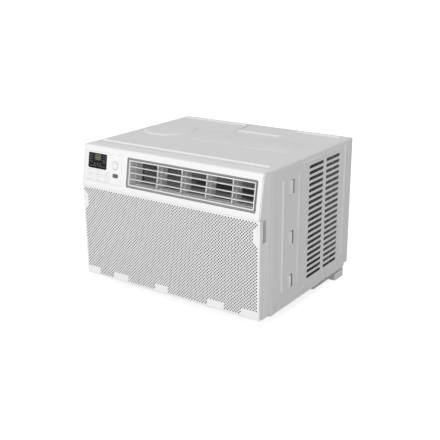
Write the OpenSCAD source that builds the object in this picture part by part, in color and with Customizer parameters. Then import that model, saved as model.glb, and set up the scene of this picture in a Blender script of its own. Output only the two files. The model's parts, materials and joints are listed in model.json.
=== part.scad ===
// Window air conditioner: front bezel, tip-out inlet grille, louvred outlet, steel cabinet
// and the refrigeration set inside it. Millimetres, +Z up. The front faces -Y and the origin
// is the middle of the footprint, on the surface that the feet stand on.

/* [Overall] */
// Width of the bezel and cabinet
unit_w = 470; // [466:1:474]
// Depth from the grille's face to the cabinet's rear edge
unit_d = 394; // [392:1:398]
// Height of the bezel
body_h = 304; // [303:1:307]
// Height of the bezel's underside above the surface
foot_h = 28; // [26:1:32]
// Height of the seam between the inlet grille and the upper panel, above the underside
split_h = 213.6; // [213:0.2:214.6]
// How far the upper panel leans back at its top
lean = 15; // [13:1:17]

/* [Front] */
// Depth of the bezel
bezel_d = 42; // [41:1:44]
// Wall of the moulded plastic parts
wall = 2.5; // [2.2:0.1:2.6]
// Depth of the grille's skirt
skirt_d = 12; // [11:0.5:12]
// Radius of the grille's hinge pins
hinge_r = 1.5; // [1.3:0.1:1.6]
// Number of slots in each of the grille's four fields
grille_rows = 20; // [16:1:22]

/* [Outlet] */
// Width of the outlet recess
outlet_w = 330; // [328:1:332]
// Height of the outlet recess along the panel
outlet_h = 65; // [64:1:66]
// Distance from the seam up to the recess
outlet_v = 12.8; // [12.6:0.1:13.2]
// Distance from the bezel's middle to the recess's middle
outlet_x = 57.6; // [56:0.2:58]
// Number of level blades
blades = 3; // [3:1:3]
// Spacing of the level blades
blade_pitch = 13.4; // [13.2:0.1:13.6]
// Front-to-back size of a level blade
blade_chord = 11; // [10:0.5:11]
// Thickness of a level blade
blade_t = 2; // [1.8:0.1:2.2]
// Number of upright vanes
vanes = 4; // [4:1:4]
// Spacing of the upright vanes
vane_pitch = 63.8; // [62:0.2:64]
// Front-to-back size of an upright vane
vane_chord = 28; // [26:1:30]

/* [Controls] */
// Width of the control fascia
fascia_w = 106.5; // [106:0.5:107]
// Height of the control fascia
fascia_h = 66; // [65.5:0.5:66.5]
// Width of the display window
display_w = 54; // [52:1:55]
// Height of the display window
display_h = 34; // [33:1:35]
// Gap round each button
button_gap = 0.35; // [0.3:0.05:0.5]

/* [Cabinet] */
// Thickness of the sheet steel
sheet = 1.5; // [1.2:0.1:1.6]
// Rows of side vents
vent_rows = 20; // [18:1:20]
// Spacing of the side vents
vent_pitch = 12.98; // [12.8:0.02:13]
// Length of a side vent
vent_l = 64; // [60:1:64]
// Height of a side vent
vent_h = 7.5; // [7:0.25:8]
// Height of the pressed beads
bead_t = 1.6; // [1:0.1:2]

/* [Fan] */
// Radius of the blower wheel
wheel_r = 78; // [76:1:80]
// Length of the blower wheel
wheel_l = 58; // [54:1:60]
// Number of blades on the blower wheel
wheel_blades = 36; // [30:2:40]
// Radius of the condenser fan's ring
fan_r = 108; // [104:1:110]
// Number of blades on the condenser fan
fan_blades = 5; // [4:1:6]
// Radius of the fan shaft
shaft_r = 4; // [3.5:0.5:4.5]

/* [Refrigeration] */
// Radius of the compressor's shell
comp_r = 52; // [48:1:54]
// Height of the compressor
comp_h = 190; // [180:5:200]
// Outer radius of the coil tubes
tube_r = 3.6; // [3.2:0.1:3.8]

/* [Hidden] */
$fn = 48;
eps = 0.01;
pin_clear = 0.05;
elbow = 1.12;
seam = 0.4;
front_y = -unit_d / 2;
rear_y = unit_d / 2;
half_w = unit_w / 2;
base_z = foot_h;
top_z = base_z + body_h;
split_z = base_z + split_h;
tilt = atan(lean / (body_h - split_h));
through = unit_w + 40;

// Upper panel: local X across, Y up the leaning face, Z out of it
panel_l = (body_h - split_h) / cos(tilt);
outlet_mid_v = outlet_v + outlet_h / 2;
frame_w = 319.4;
frame_h = 55.5;
frame_bar = 2.5;
frame_front = -0.6;
frame_back = -22;
frame_r = 2;
rib_w = 3;
rib_d = 6;
blade_n = -7.5;
blade_pin_r = 1.2;
blade_l = frame_w - 2 * frame_bar - 0.8;
blade_link_x = blade_l / 2 - 6;
blade_link_n = blade_chord / 2 + 3;
link_pin_r = 0.8;
vane_h = frame_h - 2 * frame_bar - 3;
vane_t = 1.6;
vane_pin_r = 1.4;
vane_pivot_n = -31;
vane_front = 7;
carrier_front = frame_back - 0.3;
carrier_back = -44;
vane_link_n = 12;
vane_link_v = 8;
link_t = 2;

// Controls, measured on the upper panel
fascia_x = -half_w + 6.5 + fascia_w / 2;
fascia_v = 12.8 + fascia_h / 2;
display_x = -half_w + 42.4;
display_v = 58.4;
display_corner = 3;
key_w = 19.4;
key_h = 8.6;
key_corner = 1.6;
key_x = [-half_w + 22.5, -half_w + 46.2, -half_w + 70.2];
key_v = [33.2, 20.2];
key_depth = 6;
rocker_x = -half_w + 94;
rocker_v = 55;
rocker_r = 8.2;
rocker_gap = 0.6;
rocker_n = -7.2;
rocker_pin_r = 1.2;
power_x = -half_w + 96.1;
power_v = 32.4;
power_w = 14.7;
power_h = 7.8;
board_n = -13;
board_t = 1.6;

// Inlet grille and its hinge, as depth behind the face and height above the underside
hinge_d = 6.5;
hinge_h = 6.5;
grille_bottom = 1.5;
grille_top = split_h - 1;
grille_w = unit_w - 1;
ear_x = half_w - 11;
ear_t = 5;
ear_r = 3.4;
plate_d = 15;
filter_w = 420;
filter_pitch = 104;
filter_cell = 98;
filter_low = base_z + 12;
filter_high = split_z - 8;
pocket_z = 163;
pocket_h = 49;
pocket_d = 12.6;
pocket_depth = 9;
boss_r = 6.2;
screw_r = 1.9;
screw_x = half_w - 8;
screw_z = [16, 150];
flange = 16;

// Cabinet openings and beads
cab_bottom = base_z - 4;
notch_d = 376;
notch_z = base_z + 3.6;
vent_d = [224, 299];
vent_z0 = base_z + 31.4;
hook_d = 126;
hook_l = 8;
hook_ramp = 10;
hook_out = 2.5;
hook_z = [base_z + 47.5, base_z + 144.5, base_z + 253.5];
hook_h = 30;
side_beads = [[84, 31, 276], [148, 30, 276], [356, 33, 297]];
bead_w = 9;
rail_hole_r = 1.8;
rail_hole_d = 53;
rail_span = 300;
dome_x = -half_w + 73;
dome_d = 232;
dome_r = 66;
dome_t = 2;
rear_bead_d = 372;
jog_d = 308;
pan_screw_d = [66, 180, 288];
pan_screw_z = 10;
pan_half = half_w - sheet - 0.3;
pan_rim = base_z + 20;
drain_x = 150;
drain_d = 319;
drain_r = 6;
foot_w = 23;
foot_d = 41;

// Inside
fan_x = outlet_x;
fan_z = base_z + 132;
evap_w = 400;
evap_h = 198;
evap_t = 24;
evap_d = 48.5;
evap_z = base_z - 5 + sheet;
cond_w = 400;
cond_h = 276;
cond_t = 34;
cond_d = 332;
cond_z = base_z - 12 + sheet;
coil_pitch = 22;
evap_turns = 8;
cond_turns = 11;
scroll_d0 = 76;
scroll_d1 = 148;
scroll_t = 3;
scroll_grow = 0.1;
scroll_r0 = wheel_r + 9;
throat = 60;
bulk_d = 152;
motor_r = 46;
motor_d0 = 182;
motor_d1 = 252;
fan_d = 276;
fan_ring_l = 26;
shroud_d = 262;
comp_x = dome_x;
comp_y = 232;
comp_z = base_z - 2;
comp_plate_z = base_z + 4;
acc_x = comp_x + 74;
acc_y = 214;
stud_pcd = 132;
stud_r = 3;
duct_back = scroll_d1;
duct_floor = base_z + 225;
duct_top = top_z - 10;

// Depth behind the grille's face, as a Y position
function depth(d) = front_y + d;

module rounded_rect(w, h, r) {
    square([w - 2 * r, h], center = true);
    square([w, h - 2 * r], center = true);
    for (x = [-1, 1], y = [-1, 1])
        translate([x * (w / 2 - r), y * (h / 2 - r)]) circle(r);
}

module rounded_ring(w, h, r, t) {
    difference() {
        rounded_rect(w, h, r);
        rounded_rect(w - 2 * t, h - 2 * t, max(r - t, 0.5));
    }
}

module slot_shape(l, h) {
    square([l - h, h], center = true);
    for (x = [-1, 1]) translate([x * (l - h) / 2, 0]) circle(h / 2);
}

// Places children on the leaning upper panel
module on_panel(x = 0, v = 0, n = 0) {
    translate([0, front_y, split_z]) rotate([90 - tilt, 0, 0]) translate([x, v, n]) children();
}

// Extrudes a (depth, height) outline across X, centred
module across(w) {
    translate([-w / 2, 0, 0]) rotate([90, 0, 90]) linear_extrude(w) children();
}

// Extrudes an (x, z) outline back from depth d over a length l
module back(d, l) {
    translate([0, depth(d) + l, 0]) rotate([90, 0, 0]) linear_extrude(l) children();
}

module box(lo, hi) {
    translate(lo) cube(hi - lo);
}

module mirrored() {
    children();
    mirror([1, 0, 0]) children();
}

module rod(a, b, r) {
    v = b - a;
    translate(a) rotate([0, acos(v[2] / norm(v)), atan2(v[1], v[0])]) cylinder(h = norm(v), r = r);
}

module pipe(points, r) {
    for (i = [0:len(points) - 2]) rod(points[i], points[i + 1], r);
    for (i = [1:len(points) - 2]) translate(points[i]) sphere(elbow * r);
}

// ---- Front ----

module bezel_outline() {
    polygon([[front_y + skirt_d + seam, base_z], [front_y + skirt_d + seam, split_z - seam],
        [front_y, split_z - seam], [front_y, split_z], [front_y + lean, top_z],
        [front_y + bezel_d, top_z], [front_y + bezel_d, base_z]]);
}

module bezel_hollow() {
    slope = tan(tilt);
    face = wall / cos(tilt);
    low = split_z - seam + wall;
    high = top_z - wall;
    polygon([[front_y + plate_d + wall, base_z + wall], [front_y + plate_d + wall, low],
        [front_y + face + slope * (low - split_z), low],
        [front_y + face + slope * (high - split_z), high],
        [front_y + bezel_d + 1, high], [front_y + bezel_d + 1, base_z + wall]]);
}

module hinge_ear() {
    difference() {
        translate([ear_x, 0, 0]) across(ear_t) union() {
            translate([depth(hinge_d), base_z + hinge_h]) circle(ear_r);
            translate([depth(hinge_d), base_z + hinge_h - ear_r])
                square([plate_d - hinge_d + 1, 2 * ear_r]);
        }
        translate([ear_x, depth(hinge_d), base_z + hinge_h]) rotate([0, 90, 0])
            cylinder(h = ear_t + 2, r = hinge_r + pin_clear, center = true);
    }
}

module pocket_shell() {
    box([half_w - pocket_depth - wall, depth(plate_d), base_z + pocket_z - wall],
        [half_w - 1, depth(pocket_d + 12.4 + wall), base_z + pocket_z + pocket_h]);
}

module pocket_space() {
    box([half_w - pocket_depth, depth(skirt_d), base_z + pocket_z],
        [half_w + 2, depth(pocket_d + 12.4), base_z + pocket_z + pocket_h - wall]);
}

// The whole front moulding, with its vertical edges rounded
module bezel_block(w) {
    intersection() {
        across(w) bezel_outline();
        translate([0, depth(bezel_d), 0]) linear_extrude(top_z + 1)
            rounded_rect(unit_w, 2 * bezel_d, 4);
    }
}

// Leaning upper panel, with its top and its ledge over the grille
module front_bezel() {
    color("whitesmoke") difference() {
        bezel_block(unit_w - 2 * wall);
        across(unit_w) bezel_hollow();
        box([-half_w, front_y - 1, base_z - 1], [half_w, depth(bezel_d + 1), split_z - seam]);
        box([-half_w, depth(plate_d + wall), base_z - 1], [half_w, depth(bezel_d + 1), top_z - wall]);
        on_panel(outlet_x, outlet_mid_v, -2 * wall) linear_extrude(4 * wall)
            rounded_rect(outlet_w, outlet_h, 3);
        on_panel(fascia_x, fascia_v, -2 * wall) linear_extrude(4 * wall)
            rounded_rect(fascia_w, fascia_h, 3);
    }
}

// Side walls of the front, with screw bosses and finger pockets
module bezel_cheeks() {
    color("whitesmoke") mirrored() difference() {
        union() {
            intersection() {
                bezel_block(unit_w);
                box([half_w - wall, front_y - 1, base_z - 1], [half_w + 1, depth(bezel_d) + 1, top_z + 1]);
            }
            pocket_shell();
            for (z = screw_z) translate([screw_x, depth(plate_d), base_z + z]) rotate([-90, 0, 0])
                cylinder(h = bezel_d - plate_d, r = boss_r);
        }
        pocket_space();
        for (z = screw_z) translate([screw_x, depth(plate_d) - 1, base_z + z]) rotate([-90, 0, 0])
            cylinder(h = bezel_d, r = screw_r + 0.3);
    }
}

module inlet_windows() {
    field = 98;
    for (i = [-1.5:1:1.5])
        box([i * (field + 8) - field / 2, depth(plate_d) - 1, base_z + 22],
            [i * (field + 8) + field / 2, depth(plate_d + wall) + 1, base_z + 198]);
}

// Lattice behind the grille, its bottom ledge, and the ears that the hinge pins turn in
module inlet_plate() {
    reach = half_w - wall;
    color("whitesmoke") difference() {
        union() {
            mirrored() hinge_ear();
            box([-reach, depth(plate_d), base_z], [reach, depth(plate_d + wall), split_z - seam]);
            box([-reach, depth(plate_d), base_z], [reach, depth(bezel_d), base_z + wall]);
        }
        inlet_windows();
        mirrored() pocket_shell();
        for (z = screw_z, s = [-1, 1])
            translate([s * screw_x, depth(plate_d) - 1, base_z + z]) rotate([-90, 0, 0])
                cylinder(h = wall + 2, r = boss_r + 0.1);
        translate([-half_w + 34, depth(30), base_z - 1]) cylinder(h = wall + 2, r = 7);
    }
}

module grille_slots() {
    field = 108;
    pitch = (grille_top - 30) / grille_rows;
    for (i = [-1.5:1:1.5], k = [0:grille_rows - 1])
        translate([i * (field + 5), base_z + 24 + k * pitch]) square([field, 4.5], center = true);
}

module inlet_grille() {
    low = base_z + grille_bottom;
    high = base_z + grille_top;
    color("whitesmoke") intersection() {
        difference() {
            union() {
                box([-grille_w / 2, front_y, low], [grille_w / 2, depth(wall), high]);
                mirrored() translate([grille_w / 2 - wall / 2, 0, 0]) across(wall) union() {
                    translate([front_y, low]) square([hinge_d, high - low]);
                    translate([front_y, base_z + hinge_h])
                        square([skirt_d - 0.5, high - base_z - hinge_h]);
                    translate([depth(hinge_d), base_z + hinge_h]) circle(skirt_d - hinge_d - 0.5);
                }
                box([-grille_w / 2, front_y, high - wall], [grille_w / 2, depth(skirt_d - 0.5), high]);
                box([-ear_x + 5, front_y, low], [ear_x - 5, depth(skirt_d - 2), low + 1.6]);
            }
            back(-1, wall + 2) grille_slots();
            mirrored() translate([grille_w / 2, depth(hinge_d), base_z + hinge_h])
                rotate([0, 90, 0]) cylinder(h = 2 * wall + 1, r = hinge_r, center = true);
        }
        translate([0, depth(skirt_d), 0]) linear_extrude(top_z)
            rounded_rect(grille_w, 2 * skirt_d, 3.5);
    }
}

module grille_pins() {
    color("silver") mirrored() translate([ear_x - ear_t / 2 - 1, depth(hinge_d), base_z + hinge_h])
        rotate([0, 90, 0]) cylinder(h = grille_w / 2 - ear_x + ear_t / 2 + 1 - 0.8, r = hinge_r);
}

module filter_frame() {
    color("dimgray") difference() {
        box([-filter_w / 2, depth(wall), filter_low], [filter_w / 2, depth(wall + 5), filter_high]);
        for (i = [-1.5:1:1.5]) box([i * filter_pitch - filter_cell / 2, depth(wall) - 1, filter_low + 6],
            [i * filter_pitch + filter_cell / 2, depth(wall + 6), filter_high - 6]);
    }
}

module filter_mesh() {
    color("gray") for (i = [-1.5:1:1.5])
        box([i * filter_pitch - filter_cell / 2, depth(wall + 2), filter_low + 6],
            [i * filter_pitch + filter_cell / 2, depth(wall + 3), filter_high - 6]);
}

// ---- Outlet ----

module outlet_surround() {
    color("gray") on_panel(outlet_x, outlet_mid_v, -6) difference() {
        linear_extrude(3.4) rounded_rect(outlet_w - 0.6, outlet_h - 0.6, 3);
        translate([0, 0, -1]) linear_extrude(6)
            rounded_rect(frame_w + 0.6, frame_h + 0.6, frame_r + 0.3);
    }
}

function rib_x(i) = (i - (vanes - 1) / 2) * vane_pitch + 2;
function blade_v(i) = (i - (blades - 1) / 2) * blade_pitch;

module outlet_frame() {
    color("whitesmoke") on_panel(outlet_x, outlet_mid_v, 0) difference() {
        union() {
            translate([0, 0, frame_back]) linear_extrude(frame_front - frame_back)
                rounded_ring(frame_w, frame_h, frame_r, frame_bar);
            for (i = [0:vanes - 1]) translate([rib_x(i), 0, frame_back + rib_d / 2])
                cube([rib_w, frame_h - 2, rib_d], center = true);
        }
        for (i = [0:blades - 1]) translate([0, blade_v(i), blade_n]) rotate([0, 90, 0])
            cylinder(h = frame_w + 2, r = blade_pin_r + pin_clear, center = true);
    }
}

// Level blade: a thin plate with rounded edges, end pivots and an arm for the link
module louvre_blade(i) {
    reach = blade_chord / 2 - blade_t / 2;
    color("white") on_panel(outlet_x, outlet_mid_v + blade_v(i), blade_n) {
        translate([-blade_l / 2, 0, 0]) rotate([0, 90, 0]) linear_extrude(blade_l) union() {
            square([2 * reach, blade_t], center = true);
            for (s = [-1, 1]) translate([s * reach, 0]) circle(blade_t / 2);
            circle(blade_pin_r + 0.5);
        }
        rotate([0, 90, 0]) cylinder(h = frame_w - 0.4, r = blade_pin_r, center = true);
        translate([blade_link_x, 0, -blade_link_n]) rotate([0, 90, 0])
            cylinder(h = 4, r = link_pin_r);
        translate([blade_link_x - 1.2, 0, -blade_link_n / 2])
            cube([2.4, 1.6, blade_link_n + 1.6], center = true);
    }
}
module louvre_blade_1() { louvre_blade(0); }
module louvre_blade_2() { louvre_blade(1); }
module louvre_blade_3() { louvre_blade(2); }

module blade_link() {
    span = (blades - 1) * blade_pitch;
    color("white") on_panel(outlet_x + blade_link_x + 1, outlet_mid_v, blade_n - blade_link_n)
        difference() {
            rotate([0, 90, 0]) linear_extrude(link_t) union() {
                square([3.6, span], center = true);
                for (s = [-1, 1]) translate([0, s * span / 2]) circle(1.8);
            }
            for (i = [0:blades - 1]) translate([0, blade_v(i), 0]) rotate([0, 90, 0])
                cylinder(h = 10, r = link_pin_r + pin_clear, center = true);
        }
}

module vane_carrier() {
    color("lightgray") on_panel(outlet_x, outlet_mid_v, 0) difference() {
        translate([0, 0, carrier_back]) linear_extrude(carrier_front - carrier_back)
            rounded_ring(frame_w, frame_h, frame_r, frame_bar);
        for (i = [0:vanes - 1]) translate([rib_x(i), 0, vane_pivot_n]) rotate([90, 0, 0])
            cylinder(h = frame_h + 2, r = vane_pin_r + pin_clear, center = true);
    }
}

module vane(i) {
    color("lightgray") on_panel(outlet_x + rib_x(i), outlet_mid_v, vane_pivot_n) {
        difference() {
            translate([-vane_t / 2, -vane_h / 2, vane_front - vane_chord])
                cube([vane_t, vane_h, vane_chord]);
            translate([-vane_t, vane_link_v - 3.1, -vane_link_n - 5]) cube([2 * vane_t, 3.2, 10]);
        }
        rotate([90, 0, 0]) cylinder(h = vane_h, r = vane_pin_r + 0.6, center = true);
        rotate([90, 0, 0]) cylinder(h = frame_h - 0.6, r = vane_pin_r, center = true);
        translate([vane_t / 2 + 2.4, vane_link_v, -vane_link_n]) rotate([90, 0, 0])
            cylinder(h = 5, r = link_pin_r);
        translate([0, vane_link_v - 5, -vane_link_n - 1]) cube([vane_t / 2 + 3.4, 1.8, 2]);
    }
}
module vane_1() { vane(0); }
module vane_2() { vane(1); }
module vane_3() { vane(2); }
module vane_4() { vane(3); }

module vane_link() {
    span = (vanes - 1) * vane_pitch;
    color("white") on_panel(outlet_x + rib_x((vanes - 1) / 2) + vane_t / 2 + 2.4,
        outlet_mid_v + vane_link_v - 0.6, vane_pivot_n - vane_link_n) difference() {
        rotate([90, 0, 0]) linear_extrude(link_t) union() {
            square([span, 3.4], center = true);
            for (i = [0:vanes - 1]) translate([(i - (vanes - 1) / 2) * vane_pitch, 0]) circle(1.9);
        }
        for (i = [0:vanes - 1]) translate([(i - (vanes - 1) / 2) * vane_pitch, 0, 0])
            rotate([90, 0, 0]) cylinder(h = 10, r = link_pin_r + pin_clear, center = true);
    }
}

module outlet_duct() {
    x0 = outlet_x - frame_w / 2;
    x1 = outlet_x + frame_w / 2;
    color("gray") difference() {
        box([x0, depth(58), duct_floor], [x1, depth(duct_back), duct_top]);
        box([x0 + wall, depth(57), duct_floor + wall],
            [x1 - wall, depth(duct_back - wall), duct_top - wall]);
        box([fan_x - throat, depth(scroll_d0 + scroll_t), duct_floor - 1],
            [fan_x + throat, depth(scroll_d1 - scroll_t), duct_floor + wall + 1]);
    }
}

// ---- Controls ----

module control_fascia() {
    color("white") on_panel(0, 0, -wall) difference() {
        translate([fascia_x, fascia_v, 0]) linear_extrude(wall)
            rounded_rect(fascia_w - 0.6, fascia_h - 0.6, 3);
        translate([display_x, display_v, -1]) linear_extrude(wall + 2)
            rounded_rect(display_w, display_h, display_corner);
        for (x = key_x, v = key_v) translate([x, v, -1]) linear_extrude(wall + 2)
            rounded_rect(key_w + 2 * button_gap, key_h + 2 * button_gap, key_corner);
        translate([rocker_x, rocker_v, -1]) cylinder(h = wall + 2, r = rocker_r + rocker_gap);
        translate([power_x, power_v, -1]) linear_extrude(wall + 2)
            rounded_rect(power_w + 2 * button_gap, power_h + 2 * button_gap, key_corner);
    }
}

module display_lens() {
    color("black") on_panel(display_x, display_v, -wall) linear_extrude(wall - 0.2)
        rounded_rect(display_w - 0.3, display_h - 0.3, display_corner);
}

module control_board() {
    color("darkgreen") on_panel(0, 0, 0) {
        translate([fascia_x - fascia_w / 2 + 2, fascia_v - fascia_h / 2 + 2, board_n])
            cube([fascia_w - 4, fascia_h - 4, board_t]);
        translate([display_x - 25, display_v - 15, board_n + board_t]) cube([50, 30, 8.4]);
        for (x = key_x, v = key_v) translate([x - 3, v - 3, board_n + board_t]) cube([6, 6, 2.6]);
        translate([power_x - 3, power_v - 3, board_n + board_t]) cube([6, 6, 2.6]);
        for (s = [-1, 1]) translate([rocker_x - 2, rocker_v + s * 5 - 2, board_n + board_t])
            cube([4, 4, 2]);
        for (s = [-1, 1]) translate([rocker_x + s * 5.5, rocker_v, 0]) difference() {
            translate([-1, -2.2, board_n + board_t]) cube([2, 4.4, rocker_n + 2 - board_n - board_t]);
            translate([0, 0, rocker_n]) rotate([0, 90, 0])
                cylinder(h = 4, r = rocker_pin_r + pin_clear, center = true);
        }
    }
}

module push_button(x, v, w, h) {
    on_panel(x, v, 0) {
        translate([0, 0, -key_depth]) linear_extrude(key_depth + 0.5) rounded_rect(w, h, key_corner - 0.3);
        translate([0, 0, -key_depth - 1.9]) cylinder(h = 1.9 + eps, r = 2);
    }
}
module small_key(i, k) { color("whitesmoke") push_button(key_x[i], key_v[k], key_w, key_h); }
module mode_key() { small_key(0, 0); }
module fan_key() { small_key(1, 0); }
module timer_key() { small_key(2, 0); }
module eco_key() { small_key(0, 1); }
module sleep_key() { small_key(1, 1); }
module swing_key() { small_key(2, 1); }
module power_button() { color("dimgray") push_button(power_x, power_v, power_w, power_h); }

module temp_rocker() {
    color("whitesmoke") on_panel(rocker_x, rocker_v, 0) {
        translate([0, 0, rocker_n + 2.6]) cylinder(h = 0.6 - rocker_n - 2.6, r = rocker_r);
        translate([0, 0, rocker_n - 1.6]) cylinder(h = 4.3, r = 3);
        translate([0, 0, rocker_n]) rotate([0, 90, 0])
            cylinder(h = 13, r = rocker_pin_r, center = true);
    }
}

// ---- Cabinet ----

module vent_pattern() {
    for (d = vent_d, k = [0:vent_rows - 1])
        translate([depth(d), vent_z0 + k * vent_pitch]) slot_shape(vent_l, vent_h);
}

module hook_pattern() {
    for (z = hook_z) translate([depth(hook_d), z]) square([hook_l, hook_h], center = true);
}

module side_bead(d, z0, z1) {
    translate([half_w, depth(d), base_z + z0]) linear_extrude(z1 - z0)
        polygon([[-eps, -bead_w / 2], [bead_t, -bead_w / 5], [bead_t, bead_w / 5], [-eps, bead_w / 2]]);
}

module hook_ramp(z) {
    translate([half_w, depth(hook_d - hook_l / 2), z - hook_h / 2]) linear_extrude(hook_h)
        polygon([[-1, -hook_ramp], [0, -hook_ramp], [hook_out, 0], [hook_out, hook_l * 0.25],
            [hook_out - 1, hook_l * 0.25], [hook_out - 1, 0], [-1, 0]]);
}

module top_bead(x0, d0, x1, d1) {
    run = [x1 - x0, d1 - d0];
    translate([x0, depth(d0), top_z]) rotate([0, 0, atan2(run[1], run[0])])
        rotate([90, 0, 90]) linear_extrude(norm(run))
            polygon([[-bead_w / 2, -eps], [-bead_w / 5, bead_t],
                [bead_w / 5, bead_t], [bead_w / 2, -eps]]);
}

module cabinet_shell() {
    back(bezel_d, unit_d - bezel_d) difference() {
        translate([-half_w, cab_bottom]) square([unit_w, top_z - cab_bottom]);
        translate([-half_w + sheet, cab_bottom - 1])
            square([unit_w - 2 * sheet, top_z - cab_bottom + 1 - sheet]);
    }
    for (d = [bezel_d, unit_d - sheet]) back(d, sheet) difference() {
        translate([-half_w, base_z + 4]) square([unit_w, top_z - base_z - 4]);
        translate([-half_w + flange, base_z]) square([unit_w - 2 * flange, top_z - base_z - flange * 0.6]);
    }
}

module cabinet_wrap() {
    color("gainsboro") mirrored() for (z = hook_z) hook_ramp(z);
    color("gainsboro") difference() {
        union() {
            cabinet_shell();
            mirrored() for (b = side_beads) side_bead(b[0], b[1], b[2]);
            top_bead(-half_w + 10, 63, half_w - 15, 63);
            translate([dome_x, depth(dome_d), top_z - eps])
                cylinder(h = dome_t, r1 = dome_r + 3, r2 = dome_r - 3);
            top_bead(-half_w + 12, rear_bead_d, -half_w + 198, rear_bead_d);
            top_bead(-half_w + 198, rear_bead_d, -half_w + 216, jog_d);
            top_bead(-half_w + 216, jog_d, -half_w + 328, jog_d);
            top_bead(-half_w + 328, jog_d, -half_w + 336, rear_bead_d);
            top_bead(-half_w + 336, rear_bead_d, half_w - 18, rear_bead_d);
        }
        across(through) vent_pattern();
        across(through) hook_pattern();
        box([-half_w - 1, depth(notch_d), cab_bottom - 1], [half_w + 1, rear_y + 1, notch_z]);
        for (s = [-1, 1]) {
            translate([s * rail_span / 2, depth(rail_hole_d), top_z - 5]) cylinder(h = 10, r = rail_hole_r);
            for (z = screw_z) translate([s * screw_x, depth(bezel_d) - 1, base_z + z])
                rotate([-90, 0, 0]) cylinder(h = 4, r = screw_r + pin_clear);
        }
        for (d = pan_screw_d) translate([0, depth(d), base_z + pan_screw_z]) rotate([0, 90, 0])
            cylinder(h = through, r = screw_r + pin_clear, center = true);
    }
}

function pan_low(s) = [[depth(46 + s), base_z - 5 + s], [depth(216), base_z - 5 + s],
    [depth(231), base_z - 12 + s], [depth(notch_d - s), base_z - 12 + s]];

module base_pan() {
    color("silver") difference() {
        across(2 * pan_half)
            polygon(concat(pan_low(0), [[depth(notch_d), pan_rim], [depth(46), pan_rim]]));
        across(2 * (pan_half - sheet))
            polygon(concat(pan_low(sheet),
                [[depth(notch_d - sheet), pan_rim + 1], [depth(46 + sheet), pan_rim + 1]]));
        for (d = pan_screw_d) translate([0, depth(d), base_z + pan_screw_z]) rotate([0, 90, 0])
            cylinder(h = through, r = screw_r + pin_clear, center = true);
        translate([drain_x, depth(drain_d), base_z - 20]) cylinder(h = 20, r = drain_r);
        stud_places() translate([0, 0, base_z - 16]) cylinder(h = 20, r = stud_r + pin_clear);
    }
}

module drain_plug() {
    color("black") translate([drain_x, depth(drain_d), base_z - 12 + sheet]) {
        difference() {
            cylinder(h = 2, r = drain_r + 3);
            translate([0, 0, 1]) cylinder(h = 2, r = drain_r - 1);
        }
        translate([0, 0, -5]) cylinder(h = 5 + eps, r = drain_r - 0.1);
    }
}

module rear_feet() {
    color("gainsboro") mirrored() translate([half_w - foot_w / 2 - 0.4, depth(notch_d - foot_d / 2), 0])
        difference() {
            linear_extrude(base_z - 12) rounded_rect(foot_w, foot_d, 2);
            translate([0, 0, -1]) linear_extrude(6) rounded_rect(foot_w - 7, foot_d - 7, 2);
        }
}

module front_feet() {
    color("dimgray") mirrored() translate([half_w - 68, depth(84), 0]) difference() {
        linear_extrude(base_z - 5) rounded_rect(34, 38, 4);
        translate([0, 0, -1]) linear_extrude(6) rounded_rect(26, 30, 2);
    }
}

// Steel frame behind the rear flange, with guard bars across the condenser
module rear_panel() {
    w = 2 * (half_w - sheet - 0.4);
    low = notch_z + 0.4;
    high = top_z - sheet - 0.4;
    color("gainsboro") back(unit_d - 2 * sheet - 0.2, sheet) {
        difference() {
            translate([-w / 2, low]) square([w, high - low]);
            translate([-188, base_z + 16]) square([376, 240]);
        }
        for (k = [1:7]) translate([-189, base_z + 14 + k * 30]) square([378, 3]);
        for (x = [-94, 0, 94]) translate([x - 1.5, base_z + 15]) square([3, 242]);
    }
    color("gainsboro")
        box([-w / 2, depth(notch_d + 0.4), low], [w / 2, depth(unit_d - 2 * sheet), low + sheet]);
}

module cross_screw(shank, head) {
    translate([0, 0, -shank]) cylinder(h = shank + eps, r = screw_r);
    difference() {
        cylinder(h = head, r = 3.8);
        translate([0, 0, head]) cube([5, 1, 2], center = true);
        translate([0, 0, head]) cube([1, 5, 2], center = true);
    }
}

module case_screws() {
    color("silver") {
        for (z = screw_z, s = [-1, 1]) translate([s * screw_x, depth(plate_d), base_z + z])
            rotate([90, 0, 0]) cross_screw(bezel_d - plate_d + 3.5, 2.2);
        mirrored() for (d = pan_screw_d) translate([half_w, depth(d), base_z + pan_screw_z])
            rotate([0, 90, 0]) cross_screw(8, 1.8);
    }
}

// ---- Refrigeration ----

module u_bend(pitch, r) {
    rotate_extrude(angle = 180) translate([pitch / 2, 0]) circle(r);
}

module coil_block(w, h, t, fins) {
    translate([-w / 2, 0, 0]) cube([sheet, t, h]);
    translate([w / 2 - sheet, 0, 0]) cube([sheet, t, h]);
    translate([-w / 2, 2, 3]) cube([w, t - 4, h - 6]);
    for (k = [1:fins]) translate([-w / 2 + k * w / (fins + 1) - 0.5, 0.5, 1]) cube([1, t - 1, h - 2]);
}

module evaporator_coil() {
    color("silver") translate([0, depth(evap_d), evap_z]) coil_block(evap_w, evap_h, evap_t, 24);
}

module coil_tubes(w, h, t, pitch, turns) {
    for (s = [-1, 1], k = [0:turns - 1])
        translate([s * w / 2, t / 2, h / 2 + (k - (turns - 1) / 2) * pitch])
            rotate([0, 0, s * 90 - 90]) rotate([90, 0, 0]) rotate([0, 0, -90])
                u_bend(pitch * 0.56, tube_r);
}

module evaporator_tubes() {
    color("peru") translate([0, depth(evap_d), evap_z])
        coil_tubes(evap_w, evap_h, evap_t, coil_pitch, evap_turns);
}

module condenser_coil() {
    color("silver") translate([0, depth(cond_d), cond_z]) coil_block(cond_w, cond_h, cond_t, 28);
}

module condenser_tubes() {
    color("peru") translate([0, depth(cond_d), cond_z])
        coil_tubes(cond_w, cond_h, cond_t, coil_pitch, cond_turns);
}

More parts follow.
